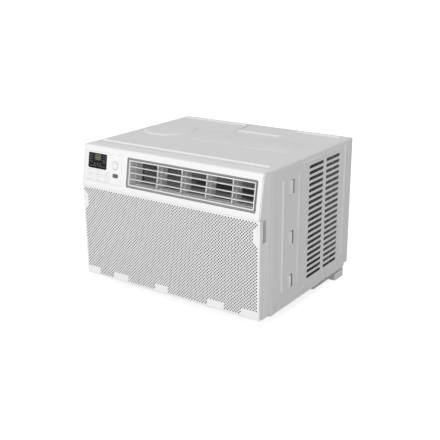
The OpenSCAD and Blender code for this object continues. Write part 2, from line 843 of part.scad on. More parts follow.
// Compressor: revolved shell, three-lobed foot plate and top stubs
function arc(r, h, a0, a1, n) = [for (i = [0:n]) let (a = a0 + (a1 - a0) * i / n)
    [r * cos(a), h * sin(a)]];
module shell_of_revolution(r, h, cap) {
    rotate_extrude() polygon(concat([[0, 0]],
        [for (p = arc(r, cap, -90, 0, 8)) [max(p[0], 0), cap + p[1]]],
        [for (p = arc(r, cap, 0, 90, 8)) [max(p[0], 0), h - cap + p[1]]], [[0, h]]));
}

module stud_places() {
    for (a = [90, 210, 330]) translate([comp_x, depth(comp_y), 0])
        rotate([0, 0, a]) translate([stud_pcd / 2, 0, 0]) children();
}

module compressor() {
    color("black") {
        translate([comp_x, depth(comp_y), comp_z + 8]) shell_of_revolution(comp_r, comp_h, 22);
        difference() {
            union() {
                translate([comp_x, depth(comp_y), comp_plate_z]) cylinder(h = 3, r = 58);
                stud_places() translate([0, 0, comp_plate_z]) cylinder(h = 3, r = 11);
            }
            stud_places() translate([0, 0, comp_plate_z - 1]) cylinder(h = 5, r = 6.3);
        }
        translate([comp_x + 20, depth(comp_y), comp_z + comp_h]) cylinder(h = 16, r = 4);
    }
}

module compressor_grommets() {
    color("dimgray") stud_places() difference() {
        union() {
            translate([0, 0, base_z - 5 + sheet]) cylinder(h = comp_plate_z - base_z + 5 - sheet, r = 9);
            translate([0, 0, comp_plate_z]) cylinder(h = 5, r = 6);
            translate([0, 0, comp_plate_z + 3]) cylinder(h = 3, r = 9);
        }
        translate([0, 0, base_z - 20]) cylinder(h = 60, r = stud_r + 0.3);
    }
}

module compressor_nuts() {
    top = comp_plate_z + 6;
    color("silver") stud_places() {
        translate([0, 0, base_z - 8]) cylinder(h = top + 10 - base_z + 8, r = stud_r);
        translate([0, 0, top]) cylinder(h = 5, r = 6, $fn = 6);
    }
}

module accumulator() {
    color("black") {
        translate([acc_x, depth(acc_y), base_z + 60]) shell_of_revolution(18, 112, 10);
        translate([acc_x, depth(acc_y), base_z + 170]) cylinder(h = 12, r = 4.5);
        difference() {
            translate([comp_x + comp_r - 1, depth(acc_y) - 2, base_z + 100]) cube([8, 4, 20]);
            translate([comp_x, depth(comp_y), base_z]) cylinder(h = 200, r = comp_r + 0.1, $fn = 96);
        }
    }
}

module refrigerant_pipes() {
    zs = base_z + 182;
    zd = comp_z + comp_h + 16;
    x = comp_x + 20;
    color("peru") {
        pipe([[acc_x, depth(acc_y), zs], [acc_x, depth(acc_y), zs + 30], [acc_x, depth(84), zs + 30],
            [acc_x, depth(84), zs - 4], [acc_x, depth(evap_d + evap_t), zs - 4]], 4.5);
        pipe([[x, depth(comp_y), zd], [x, depth(comp_y), zd + 36], [x - 30, depth(comp_y + 60), zd + 36],
            [x - 50, depth(cond_d - 14), zd + 20], [x - 50, depth(cond_d - 14), zd - 60],
            [x - 50, depth(cond_d), zd - 60]], 4);
    }
}

module capillary_coil() {
    color("peru") translate([-70, depth(178), base_z + 70]) {
        for (k = [0:4]) translate([0, 0, k * 2.4]) rotate_extrude() translate([20, 0]) circle(1.3);
        pipe([[20, 0, 9.6], [34, 0, 26], [34, 0, 19]], 1.3);
        pipe([[-20, 0, 9], [-20, 0, 45], [-20, bulk_d + 4 - 178, 45]], 1.3);
    }
}

module filter_drier() {
    color("peru") translate([-36, depth(178), base_z + 10]) {
        shell_of_revolution(9, 70, 8);
        translate([0, 0, 69]) cylinder(h = 10, r = 2.5);
    }
}

// ---- Fan set ----

module along_y(d, l, r) {
    translate([fan_x, depth(d), fan_z]) rotate([-90, 0, 0]) cylinder(h = l, r = r);
}

function scroll_curve(extra) = [for (a = [0:10:280])
    (scroll_r0 + extra + scroll_grow * a) * [cos(-a), sin(-a)]];
module scroll_outline(extra, top) {
    reach = scroll_r0 + extra;
    translate([fan_x, fan_z]) intersection() {
        polygon(concat([[reach, 200]], scroll_curve(extra), [[0, 200]]));
        translate([-200, -200]) square([400, 200 + top - fan_z]);
    }
}

module blower_housing() {
    color("lightgray") difference() {
        back(scroll_d0, scroll_d1 - scroll_d0) scroll_outline(scroll_t, duct_floor);
        back(scroll_d0 + scroll_t, scroll_d1 - scroll_d0 - 2 * scroll_t) {
            scroll_outline(0, duct_floor - scroll_t);
            translate([fan_x - throat, fan_z]) square([2 * throat, duct_floor - fan_z + 5]);
        }
        along_y(scroll_d0 - 1, 10, wheel_r - 12);
        along_y(scroll_d1 - 10, 20, 16);
    }
}

module bulkhead() {
    side = pan_half - sheet - 0.5;
    color("whitesmoke") difference() {
        box([-side, depth(bulk_d), base_z - 5 + sheet], [side, depth(bulk_d + 4), duct_top - 4]);
        along_y(bulk_d - 1, 8, 20);
        translate([acc_x, depth(bulk_d), base_z + 212]) rotate([-90, 0, 0])
            cylinder(h = 20, r = 8, center = true);
    }
}

module motor_bracket() {
    foot = base_z - 5 + sheet;
    color("silver") {
        box([fan_x - 50, depth(motor_d0 - 12), foot], [fan_x + 50, depth(motor_d0 + 26), foot + 2]);
        difference() {
            box([fan_x - 50, depth(motor_d0 - 12), foot], [fan_x + 50, depth(motor_d0 - 9), fan_z + 40]);
            along_y(motor_d0 - 14, 8, 22);
            for (s = [-1, 1]) translate([s * 30, 0, -70]) along_y(motor_d0 - 14, 8, 14);
        }
        for (s = [-1, 1]) translate([s * 34, 0, 34]) along_y(motor_d0 - 9 - eps, 9 + eps, 4);
    }
}

module fan_motor() {
    color("gray") difference() {
        union() {
            along_y(motor_d0, motor_d1 - motor_d0, motor_r);
            along_y(motor_d0 - 5, motor_d1 - motor_d0 + 10, 18);
            for (a = [0:30:330]) translate([fan_x, depth(motor_d0 + 12), fan_z]) rotate([0, a, 0])
                translate([motor_r - 1, 0, -1.2]) cube([3, motor_d1 - motor_d0 - 24, 2.4]);
        }
        along_y(motor_d0 - 20, motor_d1 - motor_d0 + 40, shaft_r + pin_clear);
    }
}

module fan_shaft() {
    color("silver") along_y(scroll_d0 + 10, fan_d + 30 - scroll_d0 - 10, shaft_r);
}

module blower_wheel() {
    d0 = scroll_d0 + scroll_t + 5;
    color("lightgray") difference() {
        union() {
            back(d0, wheel_l) for (a = [0:360 / wheel_blades:359])
                translate([fan_x, fan_z]) rotate(a) translate([wheel_r - 11, 0]) rotate(28)
                    square([10, 1.4]);
            for (d = [d0, d0 + wheel_l - 3]) back(d, 3) translate([fan_x, fan_z]) difference() {
                circle(wheel_r);
                circle(wheel_r - 13);
            }
            along_y(d0 + wheel_l - 3, 3, wheel_r - 12);
            along_y(d0 + wheel_l - 30, 30, 12);
        }
        along_y(d0 - 1, wheel_l + 2, shaft_r + 0.01);
    }
}

module slinger_fan() {
    color("dimgray") difference() {
        union() {
            along_y(fan_d - 2, 28, 24);
            for (i = [0:fan_blades - 1]) translate([fan_x, depth(fan_d + 12), fan_z])
                rotate([0, i * 360 / fan_blades, 0]) intersection() {
                    translate([20, 0, 0]) rotate([62, 0, 0]) translate([0, -30, -1])
                        cube([fan_r - 22, 60, 2]);
                    translate([0, 13, 0]) rotate([90, 0, 0]) cylinder(h = fan_ring_l, r = fan_r - 1);
                }
            difference() {
                along_y(fan_d + 2, fan_ring_l - 4, fan_r);
                along_y(fan_d, fan_ring_l, fan_r - 2.5);
            }
        }
        along_y(fan_d - 10, 60, shaft_r + 0.01);
    }
}

module fan_shroud() {
    color("lightgray") difference() {
        union() {
            box([-104, depth(fan_d + 28), base_z - 12 + sheet],
                [pan_half - sheet - 1, depth(fan_d + 31), top_z - 20]);
            along_y(fan_d + 6, 24, fan_r + 8);
        }
        along_y(fan_d - 10, 60, fan_r + 5);
        box([fan_x - 130, depth(fan_d), base_z - 12], [fan_x + 130, depth(fan_d + 27), base_z + 21]);
    }
}

// ---- Electrical ----

module electric_box() {
    x0 = -half_w + 12;
    x1 = -half_w + 118;
    z0 = base_z + 216;
    z1 = top_z - 12;
    color("silver") difference() {
        box([x0, depth(52), z0], [x1, depth(146), z1]);
        box([x0 + sheet, depth(52 + sheet), z0 + sheet], [x1 - sheet, depth(146 - sheet), z1 + 1]);
    }
}

module run_capacitor() {
    color("lightgray") translate([-half_w + 64, depth(100), base_z + 242]) rotate([0, 90, 0]) {
        translate([0, 0, -40]) cylinder(h = 80, r = 21);
        for (s = [-1, 1]) translate([s * 7, 0, 39]) cube([1, 6, 10]);
    }
}

module cord_gland() {
    color("dimgray") translate([-half_w + 34, depth(30), base_z]) difference() {
        union() {
            translate([0, 0, -2]) cylinder(h = 2, r = 10);
            translate([0, 0, -eps]) cylinder(h = wall + 2 * eps, r = 6.9);
            translate([0, 0, wall]) cylinder(h = 2, r = 9);
        }
        translate([0, 0, -5]) cylinder(h = 20, r = 4);
    }
}

front_bezel();
bezel_cheeks();
inlet_plate();
outlet_surround();
outlet_frame();
vane_carrier();
outlet_duct();
control_fascia();
display_lens();
control_board();
cabinet_wrap();
base_pan();
rear_feet();
front_feet();
rear_panel();
evaporator_coil();
evaporator_tubes();
condenser_coil();
condenser_tubes();
blower_housing();
bulkhead();
motor_bracket();
fan_motor();
fan_shroud();
compressor();
compressor_grommets();
compressor_nuts();
accumulator();
refrigerant_pipes();
capillary_coil();
filter_drier();
run_capacitor();
electric_box();
cord_gland();
drain_plug();
case_screws();
inlet_grille();
grille_pins();
filter_frame();
filter_mesh();
louvre_blade_1();
louvre_blade_2();
louvre_blade_3();
blade_link();
vane_1();
vane_2();
vane_3();
vane_4();
vane_link();
fan_shaft();
blower_wheel();
slinger_fan();
mode_key();
fan_key();
timer_key();
eco_key();
sleep_key();
swing_key();
temp_rocker();
power_button();
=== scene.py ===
import json
import math
import bmesh
import bpy
import numpy as np
from mathutils import Matrix, Vector


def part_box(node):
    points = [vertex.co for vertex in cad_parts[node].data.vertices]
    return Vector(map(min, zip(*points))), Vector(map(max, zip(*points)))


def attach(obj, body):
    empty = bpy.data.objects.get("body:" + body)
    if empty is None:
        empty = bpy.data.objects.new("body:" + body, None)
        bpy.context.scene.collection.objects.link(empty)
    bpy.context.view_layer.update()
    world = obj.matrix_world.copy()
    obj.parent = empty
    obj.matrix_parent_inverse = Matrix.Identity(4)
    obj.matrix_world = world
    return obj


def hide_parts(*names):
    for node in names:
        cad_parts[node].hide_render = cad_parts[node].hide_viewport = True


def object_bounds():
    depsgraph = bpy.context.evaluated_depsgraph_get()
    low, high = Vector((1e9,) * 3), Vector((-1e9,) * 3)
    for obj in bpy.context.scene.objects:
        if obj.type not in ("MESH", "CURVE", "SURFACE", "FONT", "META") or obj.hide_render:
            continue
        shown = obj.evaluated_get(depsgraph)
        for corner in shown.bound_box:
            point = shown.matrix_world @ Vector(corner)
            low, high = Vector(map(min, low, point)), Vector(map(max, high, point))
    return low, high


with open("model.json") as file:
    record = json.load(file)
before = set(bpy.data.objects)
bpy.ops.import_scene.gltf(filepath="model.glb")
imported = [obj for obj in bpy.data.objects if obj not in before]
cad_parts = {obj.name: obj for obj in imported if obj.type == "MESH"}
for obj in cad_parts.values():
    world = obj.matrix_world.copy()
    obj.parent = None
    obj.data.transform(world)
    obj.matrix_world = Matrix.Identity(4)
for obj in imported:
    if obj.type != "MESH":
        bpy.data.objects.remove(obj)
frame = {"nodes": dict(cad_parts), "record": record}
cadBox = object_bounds()
nodes = frame["nodes"]
print("frame loaded with", len(nodes), "nodes")

# Main sizes in millimetres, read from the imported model
metre = 0.001
cheekLow, cheekHigh = (np.array(corner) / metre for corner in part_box("bezel_cheeks"))
grilleLow, grilleHigh = (np.array(corner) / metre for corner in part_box("inlet_grille"))
halfWidth = cheekHigh[0]
baseZ = cheekLow[2]
topZ = cheekHigh[2]
frontY = cadBox[0].y / metre
rearY = cadBox[1].y / metre
seamGap = 1.0
leanDepth = 15.0
seamZ = grilleHigh[2] + seamGap
leanAngle = math.atan2(leanDepth, topZ - seamZ)

# Camera, light and floor
shot = {"azimuth": 34.99, "elevation": 18.65, "roll": -0.42, "distance": 1.8127, "lens": 63.8,
        "aim": (0.0, 0.038, 0.2066), "sideShift": -0.0187, "upShift": -0.0680, "sensor": 36.0,
        "clipStart": 0.05}
studio = {"sky": 0.68, "keyPower": 54.0, "keySize": 2.2, "keyFrom": (-0.05, -3.3, 0.95),
          "keyAim": (0, 0, 0.18), "floorShade": 0.6, "floorGlow": 0.78, "floorReach": 6}


def placeCamera():  # stands back from the aim point along the two angles, then turns by the small roll
    azimuth, elevation, roll = (math.radians(shot[k]) for k in ("azimuth", "elevation", "roll"))
    back = Vector((math.sin(azimuth) * math.cos(elevation),
                   -math.cos(azimuth) * math.cos(elevation), math.sin(elevation)))
    right = (-back).cross(Vector((0, 0, 1))).normalized()
    up = right.cross(-back)
    right, up = (right * math.cos(roll) + up * math.sin(roll),
                 up * math.cos(roll) - right * math.sin(roll))
    camera = bpy.data.objects.new("shotCamera", bpy.data.cameras.new("shotCamera"))
    camera.data.lens = shot["lens"]
    camera.data.sensor_width = shot["sensor"]
    camera.data.clip_start = shot["clipStart"]
    camera.location = (Vector(shot["aim"]) + right * shot["sideShift"] + up * shot["upShift"]
                       + back * shot["distance"])
    camera.rotation_euler = Matrix((right, up, back)).transposed().to_euler()
    bpy.context.scene.collection.objects.link(camera)
    bpy.context.scene.camera = camera


def placeLights():  # an even sky, and one large soft lamp in front that grazes the top
    world = bpy.data.worlds.new("studioSky")
    bpy.context.scene.world = world
    world.use_nodes = True
    tree = world.node_tree
    sky = tree.nodes["Background"]
    sky.inputs["Strength"].default_value = studio["sky"]
    sky.inputs["Color"].default_value = (1, 1, 1, 1)
    seen = tree.nodes.new("ShaderNodeBackground")
    seen.inputs["Color"].default_value = (1, 1, 1, 1)
    mix = tree.nodes.new("ShaderNodeMixShader")
    path = tree.nodes.new("ShaderNodeLightPath")
    tree.links.new(path.outputs["Is Camera Ray"], mix.inputs["Fac"])
    tree.links.new(sky.outputs["Background"], mix.inputs[1])
    tree.links.new(seen.outputs["Background"], mix.inputs[2])
    tree.links.new(mix.outputs["Shader"], tree.nodes["World Output"].inputs["Surface"])
    lamp = bpy.data.lights.new("frontSoftbox", "AREA")
    lamp.size = studio["keySize"]
    lamp.energy = studio["keyPower"]
    key = bpy.data.objects.new("frontSoftbox", lamp)
    key.location = studio["keyFrom"]
    away = Vector(studio["keyFrom"]) - Vector(studio["keyAim"])
    key.rotation_euler = away.to_track_quat("Z", "Y").to_euler()
    bpy.context.scene.collection.objects.link(key)
    bpy.context.scene.view_settings.view_transform = "Standard"


placeCamera()
placeLights()
print("camera and lights placed")


# Finishes: shared shader groups first, then one material for each slot
def newGroup(name, inputs, outputs):  # a shader node group with named sockets: (kind, name, start value)
    group = bpy.data.node_groups.new(name, "ShaderNodeTree")
    for kind, label, value in inputs:
        socket = group.interface.new_socket(label, in_out="INPUT", socket_type="NodeSocket" + kind)
        if value is not None:
            socket.default_value = value
    for kind, label in outputs:
        group.interface.new_socket(label, in_out="OUTPUT", socket_type="NodeSocket" + kind)
    return group, group.nodes.new("NodeGroupInput"), group.nodes.new("NodeGroupOutput")


def mathNode(tree, operation, first, second=None, clamp=False):  # one sum of two sockets or numbers
    node = tree.nodes.new("ShaderNodeMath")
    node.operation = operation
    node.use_clamp = clamp
    for place, value in enumerate((first, second)):
        if value is None:
            continue
        if isinstance(value, (int, float)):
            node.inputs[place].default_value = value
        else:
            tree.links.new(value, node.inputs[place])
    return node.outputs[0]


def mixColour(tree, factor, first, second):  # first at factor 0, second at factor 1
    node = tree.nodes.new("ShaderNodeMix")
    node.data_type = "RGBA"
    for place, value in ((0, factor), (6, first), (7, second)):
        if isinstance(value, (int, float, tuple)):
            node.inputs[place].default_value = value
        else:
            tree.links.new(value, node.inputs[place])
    return node.outputs[2]


def noiseNode(tree, vector, scale, detail=2.0, rough=0.5):  # soft noise between 0 and 1
    node = tree.nodes.new("ShaderNodeTexNoise")
    node.inputs["Detail"].default_value = detail
    node.inputs["Roughness"].default_value = rough
    tree.links.new(vector, node.inputs["Vector"])
    if isinstance(scale, (int, float)):
        node.inputs["Scale"].default_value = scale
    else:
        tree.links.new(scale, node.inputs["Scale"])
    return node.outputs["Fac"]


def buildGrain():  # fine moulded grain over a slow drift: height for the bump, tint for the colour
    group, given, result = newGroup("mouldGrain",
                                    [("Float", "Grain Scale", 900.0), ("Float", "Drift Scale", 9.0),
                                     ("Float", "Tint Depth", 0.03)],
                                    [("Float", "Height"), ("Float", "Tint")])
    here = group.nodes.new("ShaderNodeTexCoord").outputs["Object"]
    fine = noiseNode(group, here, given.outputs["Grain Scale"], 3.0, 0.6)
    slow = noiseNode(group, here, given.outputs["Drift Scale"], 3.0)
    group.links.new(fine, result.inputs["Height"])
    both = mathNode(group, "ADD", mathNode(group, "MULTIPLY", fine, 0.35),
                    mathNode(group, "MULTIPLY", slow, 0.65))
    shifted = mathNode(group, "MULTIPLY", mathNode(group, "SUBTRACT", both, 0.5),
                       given.outputs["Tint Depth"])
    group.links.new(mathNode(group, "ADD", 1.0, mathNode(group, "MULTIPLY", shifted, 2.0)),
                    result.inputs["Tint"])
    return group


def buildWear():  # colour rubbed along sharp edges, broken up by noise
    group, given, result = newGroup("edgeRub",
                                    [("Color", "Base", (0.8, 0.8, 0.8, 1)),
                                     ("Color", "Rubbed", (1, 1, 1, 1)), ("Float", "Amount", 0.3)],
                                    [("Color", "Colour"), ("Float", "Mask")])
    here = group.nodes.new("ShaderNodeTexCoord").outputs["Object"]
    ridge = mathNode(group, "MULTIPLY", mathNode(group, "SUBTRACT",
                     group.nodes.new("ShaderNodeNewGeometry").outputs["Pointiness"], 0.53), 9.0, True)
    broken = mathNode(group, "MULTIPLY", ridge, noiseNode(group, here, 70.0, 4.0, 0.7))
    mask = mathNode(group, "MULTIPLY", broken, given.outputs["Amount"], True)
    group.links.new(mask, result.inputs["Mask"])
    group.links.new(mixColour(group, mask, given.outputs["Base"], given.outputs["Rubbed"]),
                    result.inputs["Colour"])
    return group


def buildDustAndTopLight():  # pale on faces that look up, in soft patches: settled dust, and where the amount is large, as on the duct foam, a painted lighter top where light falls
    group, given, result = newGroup("settledDustAndTopLight",
                                    [("Color", "Base", (0.8, 0.8, 0.8, 1)),
                                     ("Color", "Dust And Top Light", (0.6, 0.58, 0.55, 1)), ("Float", "Amount", 0.1)],
                                    [("Color", "Colour"), ("Float", "Mask")])
    here = group.nodes.new("ShaderNodeTexCoord").outputs["Object"]
    split = group.nodes.new("ShaderNodeSeparateXYZ")
    group.links.new(group.nodes.new("ShaderNodeNewGeometry").outputs["Normal"], split.inputs[0])
    lifted = mathNode(group, "MULTIPLY", mathNode(group, "MAXIMUM", split.outputs["Z"], 0.0),
                      noiseNode(group, here, 34.0, 5.0, 0.65))
    mask = mathNode(group, "MULTIPLY", lifted, given.outputs["Amount"], True)
    group.links.new(mask, result.inputs["Mask"])
    group.links.new(mixColour(group, mask, given.outputs["Base"], given.outputs["Dust And Top Light"]),
                    result.inputs["Colour"])
    return group


def buildSpangle():  # crystal patches of hot-dip zinc
    group, given, result = newGroup("zincSpangle",
                                    [("Float", "Scale", 140.0), ("Float", "Contrast", 0.2)],
                                    [("Float", "Tint"), ("Float", "Roughness")])
    cells = group.nodes.new("ShaderNodeTexVoronoi")
    group.links.new(group.nodes.new("ShaderNodeTexCoord").outputs["Object"], cells.inputs["Vector"])
    group.links.new(given.outputs["Scale"], cells.inputs["Scale"])
    split = group.nodes.new("ShaderNodeSeparateColor")
    group.links.new(cells.outputs["Color"], split.inputs[0])
    swing = mathNode(group, "MULTIPLY", mathNode(group, "SUBTRACT", split.outputs[0], 0.5),
                     given.outputs["Contrast"])
    group.links.new(mathNode(group, "ADD", 1.0, swing), result.inputs["Tint"])
    group.links.new(mathNode(group, "ADD", 0.38, mathNode(group, "MULTIPLY", split.outputs[1], 0.22)),
                    result.inputs["Roughness"])
    return group


grainGroup, wearGroup, dustAndTopLightGroup, spangleGroup = buildGrain(), buildWear(), buildDustAndTopLight(), buildSpangle()


def addGroup(tree, group, values):  # a shared group placed in a material, with its named inputs set
    node = tree.nodes.new("ShaderNodeGroup")
    node.node_tree = group
    for label, value in values.items():
        node.inputs[label].default_value = value
    return node


def makeFinish(name, colour, roughness=0.45, metallic=0.0, grain=900.0, bump=0.06, tint=0.03, rub=0.15,
               rubbed=None, dustAndTopLight=0.1, coat=0.0, spangle=0.0, specular=0.5, streak=None, glow=None):
    # colour = base, rubbed pale at edges, paler on top from dust and painted top light, times the
    #     # grain's tint; roughness rises a little with grain and that mask; glow is painted light
    material = bpy.data.materials.new(name)
    material.use_nodes = True
    tree = material.node_tree
    shader = tree.nodes["Principled BSDF"]
    shader.inputs["Metallic"].default_value = metallic
    shader.inputs["Specular IOR Level"].default_value = specular
    shader.inputs["Coat Weight"].default_value = coat
    shader.inputs["Coat Roughness"].default_value = 0.12
    rubbed = rubbed or tuple(min(1.0, c * 1.12 + 0.02) for c in colour)
    dustAndTopLightColour = tuple(0.5 * c + 0.32 for c in colour)
    grainNode = addGroup(tree, grainGroup, {"Grain Scale": grain, "Tint Depth": tint})
    wear = addGroup(tree, wearGroup, {"Base": (*colour, 1), "Rubbed": (*rubbed, 1), "Amount": rub})
    dustAndTopLightNode = addGroup(tree, dustAndTopLightGroup, {"Amount": dustAndTopLight, "Dust And Top Light": (*dustAndTopLightColour, 1)})
    tree.links.new(wear.outputs["Colour"], dustAndTopLightNode.inputs["Base"])
    tinted = tree.nodes.new("ShaderNodeMix")
    tinted.data_type = "RGBA"
    tinted.blend_type = "MULTIPLY"
    tinted.inputs[0].default_value = 1.0
    tree.links.new(dustAndTopLightNode.outputs["Colour"], tinted.inputs[6])
    shade = grainNode.outputs["Tint"]
    if spangle:
        zinc = addGroup(tree, spangleGroup, {"Contrast": spangle})
        shade = mathNode(tree, "MULTIPLY", shade, zinc.outputs["Tint"])
    grey = tree.nodes.new("ShaderNodeCombineColor")
    for place in range(3):
        tree.links.new(shade, grey.inputs[place])
    tree.links.new(grey.outputs[0], tinted.inputs[7])
    tree.links.new(tinted.outputs[2], shader.inputs["Base Color"])
    rough = mathNode(tree, "ADD", roughness - 0.04,
                     mathNode(tree, "MULTIPLY", grainNode.outputs["Height"], 0.08))
    rough = mathNode(tree, "ADD", rough, mathNode(tree, "MULTIPLY", dustAndTopLightNode.outputs["Mask"], 0.5), True)
    tree.links.new(rough, shader.inputs["Roughness"])
    relief = tree.nodes.new("ShaderNodeBump")
    relief.inputs["Strength"].default_value = bump
    relief.inputs["Distance"].default_value = 0.0004
    height = grainNode.outputs["Height"]
    if streak:  # long grain along one axis, as on drawn or brushed metal
        here = tree.nodes.new("ShaderNodeMapping")
        here.inputs["Scale"].default_value = streak
        tree.links.new(tree.nodes.new("ShaderNodeTexCoord").outputs["Object"], here.inputs["Vector"])
        height = mathNode(tree, "ADD", height, noiseNode(tree, here.outputs["Vector"], 300.0, 2.0))
    tree.links.new(height, relief.inputs["Height"])
    tree.links.new(relief.outputs["Normal"], shader.inputs["Normal"])
    # painted light: glow gives the base colour out as emission, lifting parts that are no lamps
    if glow:
        shader.inputs["Emission Color"].default_value = (*colour, 1)
        shader.inputs["Emission Strength"].default_value = glow
    return material


finishes = {
    "bezel_plastic": makeFinish("whiteBezelPlastic", (0.86, 0.86, 0.865), 0.42, grain=1400, bump=0.05,
                                tint=0.012, dustAndTopLight=0.03),
    "blade_plastic": makeFinish("whiteBladePlastic", (0.85, 0.85, 0.855), 0.38, grain=1200, bump=0.04,
                                tint=0.015, dustAndTopLight=0.05),
    # painted light: the vanes glow a little to lift their tone
    "vane_plastic": makeFinish("greyVanePlastic", (0.70, 0.70, 0.70), 0.45, grain=1000, bump=0.06,
                               tint=0.03, dustAndTopLight=0.1, glow=0.05),
    "surround_plastic": makeFinish("greySurroundPlastic", (0.30, 0.30, 0.305), 0.42, grain=1100,
                                   bump=0.06, tint=0.03),
    # painted light: on the duct foam the large up-facing amount paints its floor paler where light falls,
    # and its glow lifts its tone
    "duct_foam": makeFinish("ductFoam", (0.17, 0.17, 0.172), 0.85, grain=420, bump=0.5, tint=0.12,
                            dustAndTopLight=1.2, rub=0.1, glow=0.12),
    "fascia_plastic": makeFinish("fasciaPlastic", (0.87, 0.87, 0.87), 0.3, grain=1500, bump=0.02,
                                 tint=0.01, dustAndTopLight=0.02, coat=0.15),
    "button_dark": makeFinish("darkButtonPlastic", (0.10, 0.10, 0.105), 0.4, grain=1300, bump=0.05,
                              tint=0.04),
    "display_glass": makeFinish("displayWindow", (0.008, 0.008, 0.009), 0.22, grain=300, bump=0.005,
                                tint=0.1, dustAndTopLight=0.01, specular=0.25),
    "circuit_board": makeFinish("greenBoard", (0.03, 0.16, 0.06), 0.4, grain=700, bump=0.1, tint=0.15,
                                coat=0.3),
    "cabinet_paint": makeFinish("cabinetPowderCoat", (0.80, 0.80, 0.80), 0.5, grain=700, bump=0.10,
                                tint=0.02, rub=0.25, dustAndTopLight=0.06),
    "galvanised_steel": makeFinish("galvanisedSteel", (0.58, 0.60, 0.62), 0.42, metallic=0.9, grain=500,
                                   bump=0.08, spangle=0.3, dustAndTopLight=0.1),
    # painted light: the fins glow a little to lift their tone
    "coil_fins": makeFinish("finAluminium", (0.70, 0.72, 0.74), 0.45, metallic=0.55, grain=600, bump=0.08,
                            tint=0.06, dustAndTopLight=0.15, glow=0.02),
    "copper_tube": makeFinish("drawnCopper", (0.72, 0.36, 0.22), 0.32, metallic=1.0, grain=500, bump=0.05,
                              tint=0.12, rub=0.3, rubbed=(0.85, 0.5, 0.34), streak=(1, 1, 0.08)),
    "compressor_paint": makeFinish("compressorEnamel", (0.018, 0.018, 0.019), 0.32, grain=260, bump=0.12,
                                   tint=0.2, coat=0.3, dustAndTopLight=0.3, rub=0.4, rubbed=(0.09, 0.09, 0.09)),
    "motor_paint": makeFinish("motorEnamel", (0.20, 0.21, 0.22), 0.4, metallic=0.3, grain=420, bump=0.1,
                              tint=0.1, dustAndTopLight=0.2, rub=0.4),
    # painted light: the fan plastic glows a little to lift the vents' inside
    "fan_plastic": makeFinish("fanPlastic", (0.30, 0.30, 0.305), 0.5, grain=800, bump=0.08, tint=0.05,
                              dustAndTopLight=0.25, glow=0.035),
    "capacitor_can": makeFinish("capacitorCan", (0.66, 0.67, 0.68), 0.35, metallic=0.85, grain=700,
                                bump=0.05, streak=(0.05, 1, 1)),
    "filter_plastic": makeFinish("filterPlastic", (0.035, 0.035, 0.037), 0.6, grain=900, bump=0.12,
                                 tint=0.08, dustAndTopLight=0.12),
    "rubber": makeFinish("mattRubber", (0.035, 0.035, 0.036), 0.8, grain=600, bump=0.2, tint=0.1,
                         dustAndTopLight=0.35)}
screwZinc = makeFinish("brightZincScrew", (0.78, 0.79, 0.80), 0.5, metallic=0.35, grain=700, bump=0.08,
                       tint=0.05, dustAndTopLight=0.1)
inkGrey = makeFinish("printedGreyInk", (0.16, 0.16, 0.165), 0.5, grain=2000, bump=0.02, tint=0.05,
                     rub=0.0, dustAndTopLight=0.0)
# painted light: the pale ink glows a little to lift the printed marks
inkPale = makeFinish("printedPaleInk", (0.33, 0.34, 0.35), 0.5, grain=2000, bump=0.02, tint=0.05, rub=0.0,
                     dustAndTopLight=0.0, glow=0.05)
# painted light: the olive screen glows a little to lift its tone
screenOlive = makeFinish("screenOlive", (0.10, 0.115, 0.046), 0.35, grain=1500, bump=0.01, tint=0.05,
                         rub=0.0, dustAndTopLight=0.0, glow=0.1)
screenDark = makeFinish("screenSegments", (0.02, 0.025, 0.01), 0.4, grain=1500, bump=0.01, rub=0.0,
                        dustAndTopLight=0.0)
slotOf = {part["node"]: part["material_slot"] for part in frame["record"]["subparts"]}
print("finishes made")


# Mesh tools: every shape is worked out as whole arrays, in millimetres
def facingOut(part):
    # six times a closed surface's volume is the sum of its corners'
    # triple products; below zero, its faces are turned round
    points, sets = part
    corners = [points[rows] for rows in sets if len(rows)]
    volume = sum(np.einsum("ij,ikj->", c[:, 0], np.cross(c[:, 1:-1], c[:, 2:])) for c in corners)
    return (points, sets) if volume > 0 else (points, [rows[:, ::-1] for rows in sets])


def putMesh(name, parts, body, finish, standsFor=(), sharp=38.0):
    # parts are (points, [corner-number arrays, one row per
    # face]); they go into one mesh, welded at seams and poles
    parts = [facingOut(part) for part in parts]
    counts = np.cumsum([0] + [len(points) for points, _ in parts])
    points = np.concatenate([points for points, _ in parts]) * metre
    faces = [rows + start for (_, sets), start in zip(parts, counts) for rows in sets if len(rows)]
    corners = np.concatenate([rows.ravel() for rows in faces]).astype(np.int32)
    sizes = np.concatenate([np.full(len(rows), rows.shape[1]) for rows in faces])
    mesh = bpy.data.meshes.new(name)
    mesh.vertices.add(len(points))
    mesh.vertices.foreach_set("co", points.astype(np.float32).ravel())
    mesh.loops.add(len(corners))
    mesh.loops.foreach_set("vertex_index", corners)
    mesh.polygons.add(len(sizes))
    mesh.polygons.foreach_set("loop_start", np.concatenate([[0], np.cumsum(sizes)[:-1]]).astype(np.int32))
    mesh.update(calc_edges=True)
    work = bmesh.new()
    work.from_mesh(mesh)
    bmesh.ops.remove_doubles(work, verts=work.verts, dist=0.000002)
    bmesh.ops.dissolve_degenerate(work, dist=0.000001, edges=work.edges)
    work.to_mesh(mesh)
    work.free()
    mesh.polygons.foreach_set("use_smooth", np.ones(len(mesh.polygons), bool))
    mesh.set_sharp_from_angle(angle=math.radians(sharp))
    piece = bpy.data.objects.new(name, mesh)
    bpy.context.scene.collection.objects.link(piece)
    mesh.materials.append(finish if not isinstance(finish, str) else finishes[finish])
    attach(piece, body)
    if standsFor:
        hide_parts(*([standsFor] if isinstance(standsFor, str) else standsFor))
    return piece


def gridFaces(rows, columns, wrapRows=False, wrapColumns=False):  # quads of a grid, its columns quickest
    i = np.arange(rows if wrapRows else rows - 1)[:, None]
    j = np.arange(columns if wrapColumns else columns - 1)[None, :]
    a, b = (i % rows) * columns, ((i + 1) % rows) * columns
    k = (j + 1) % columns
    return np.stack([a + j, a + k, b + k, b + j], -1).reshape(-1, 4)


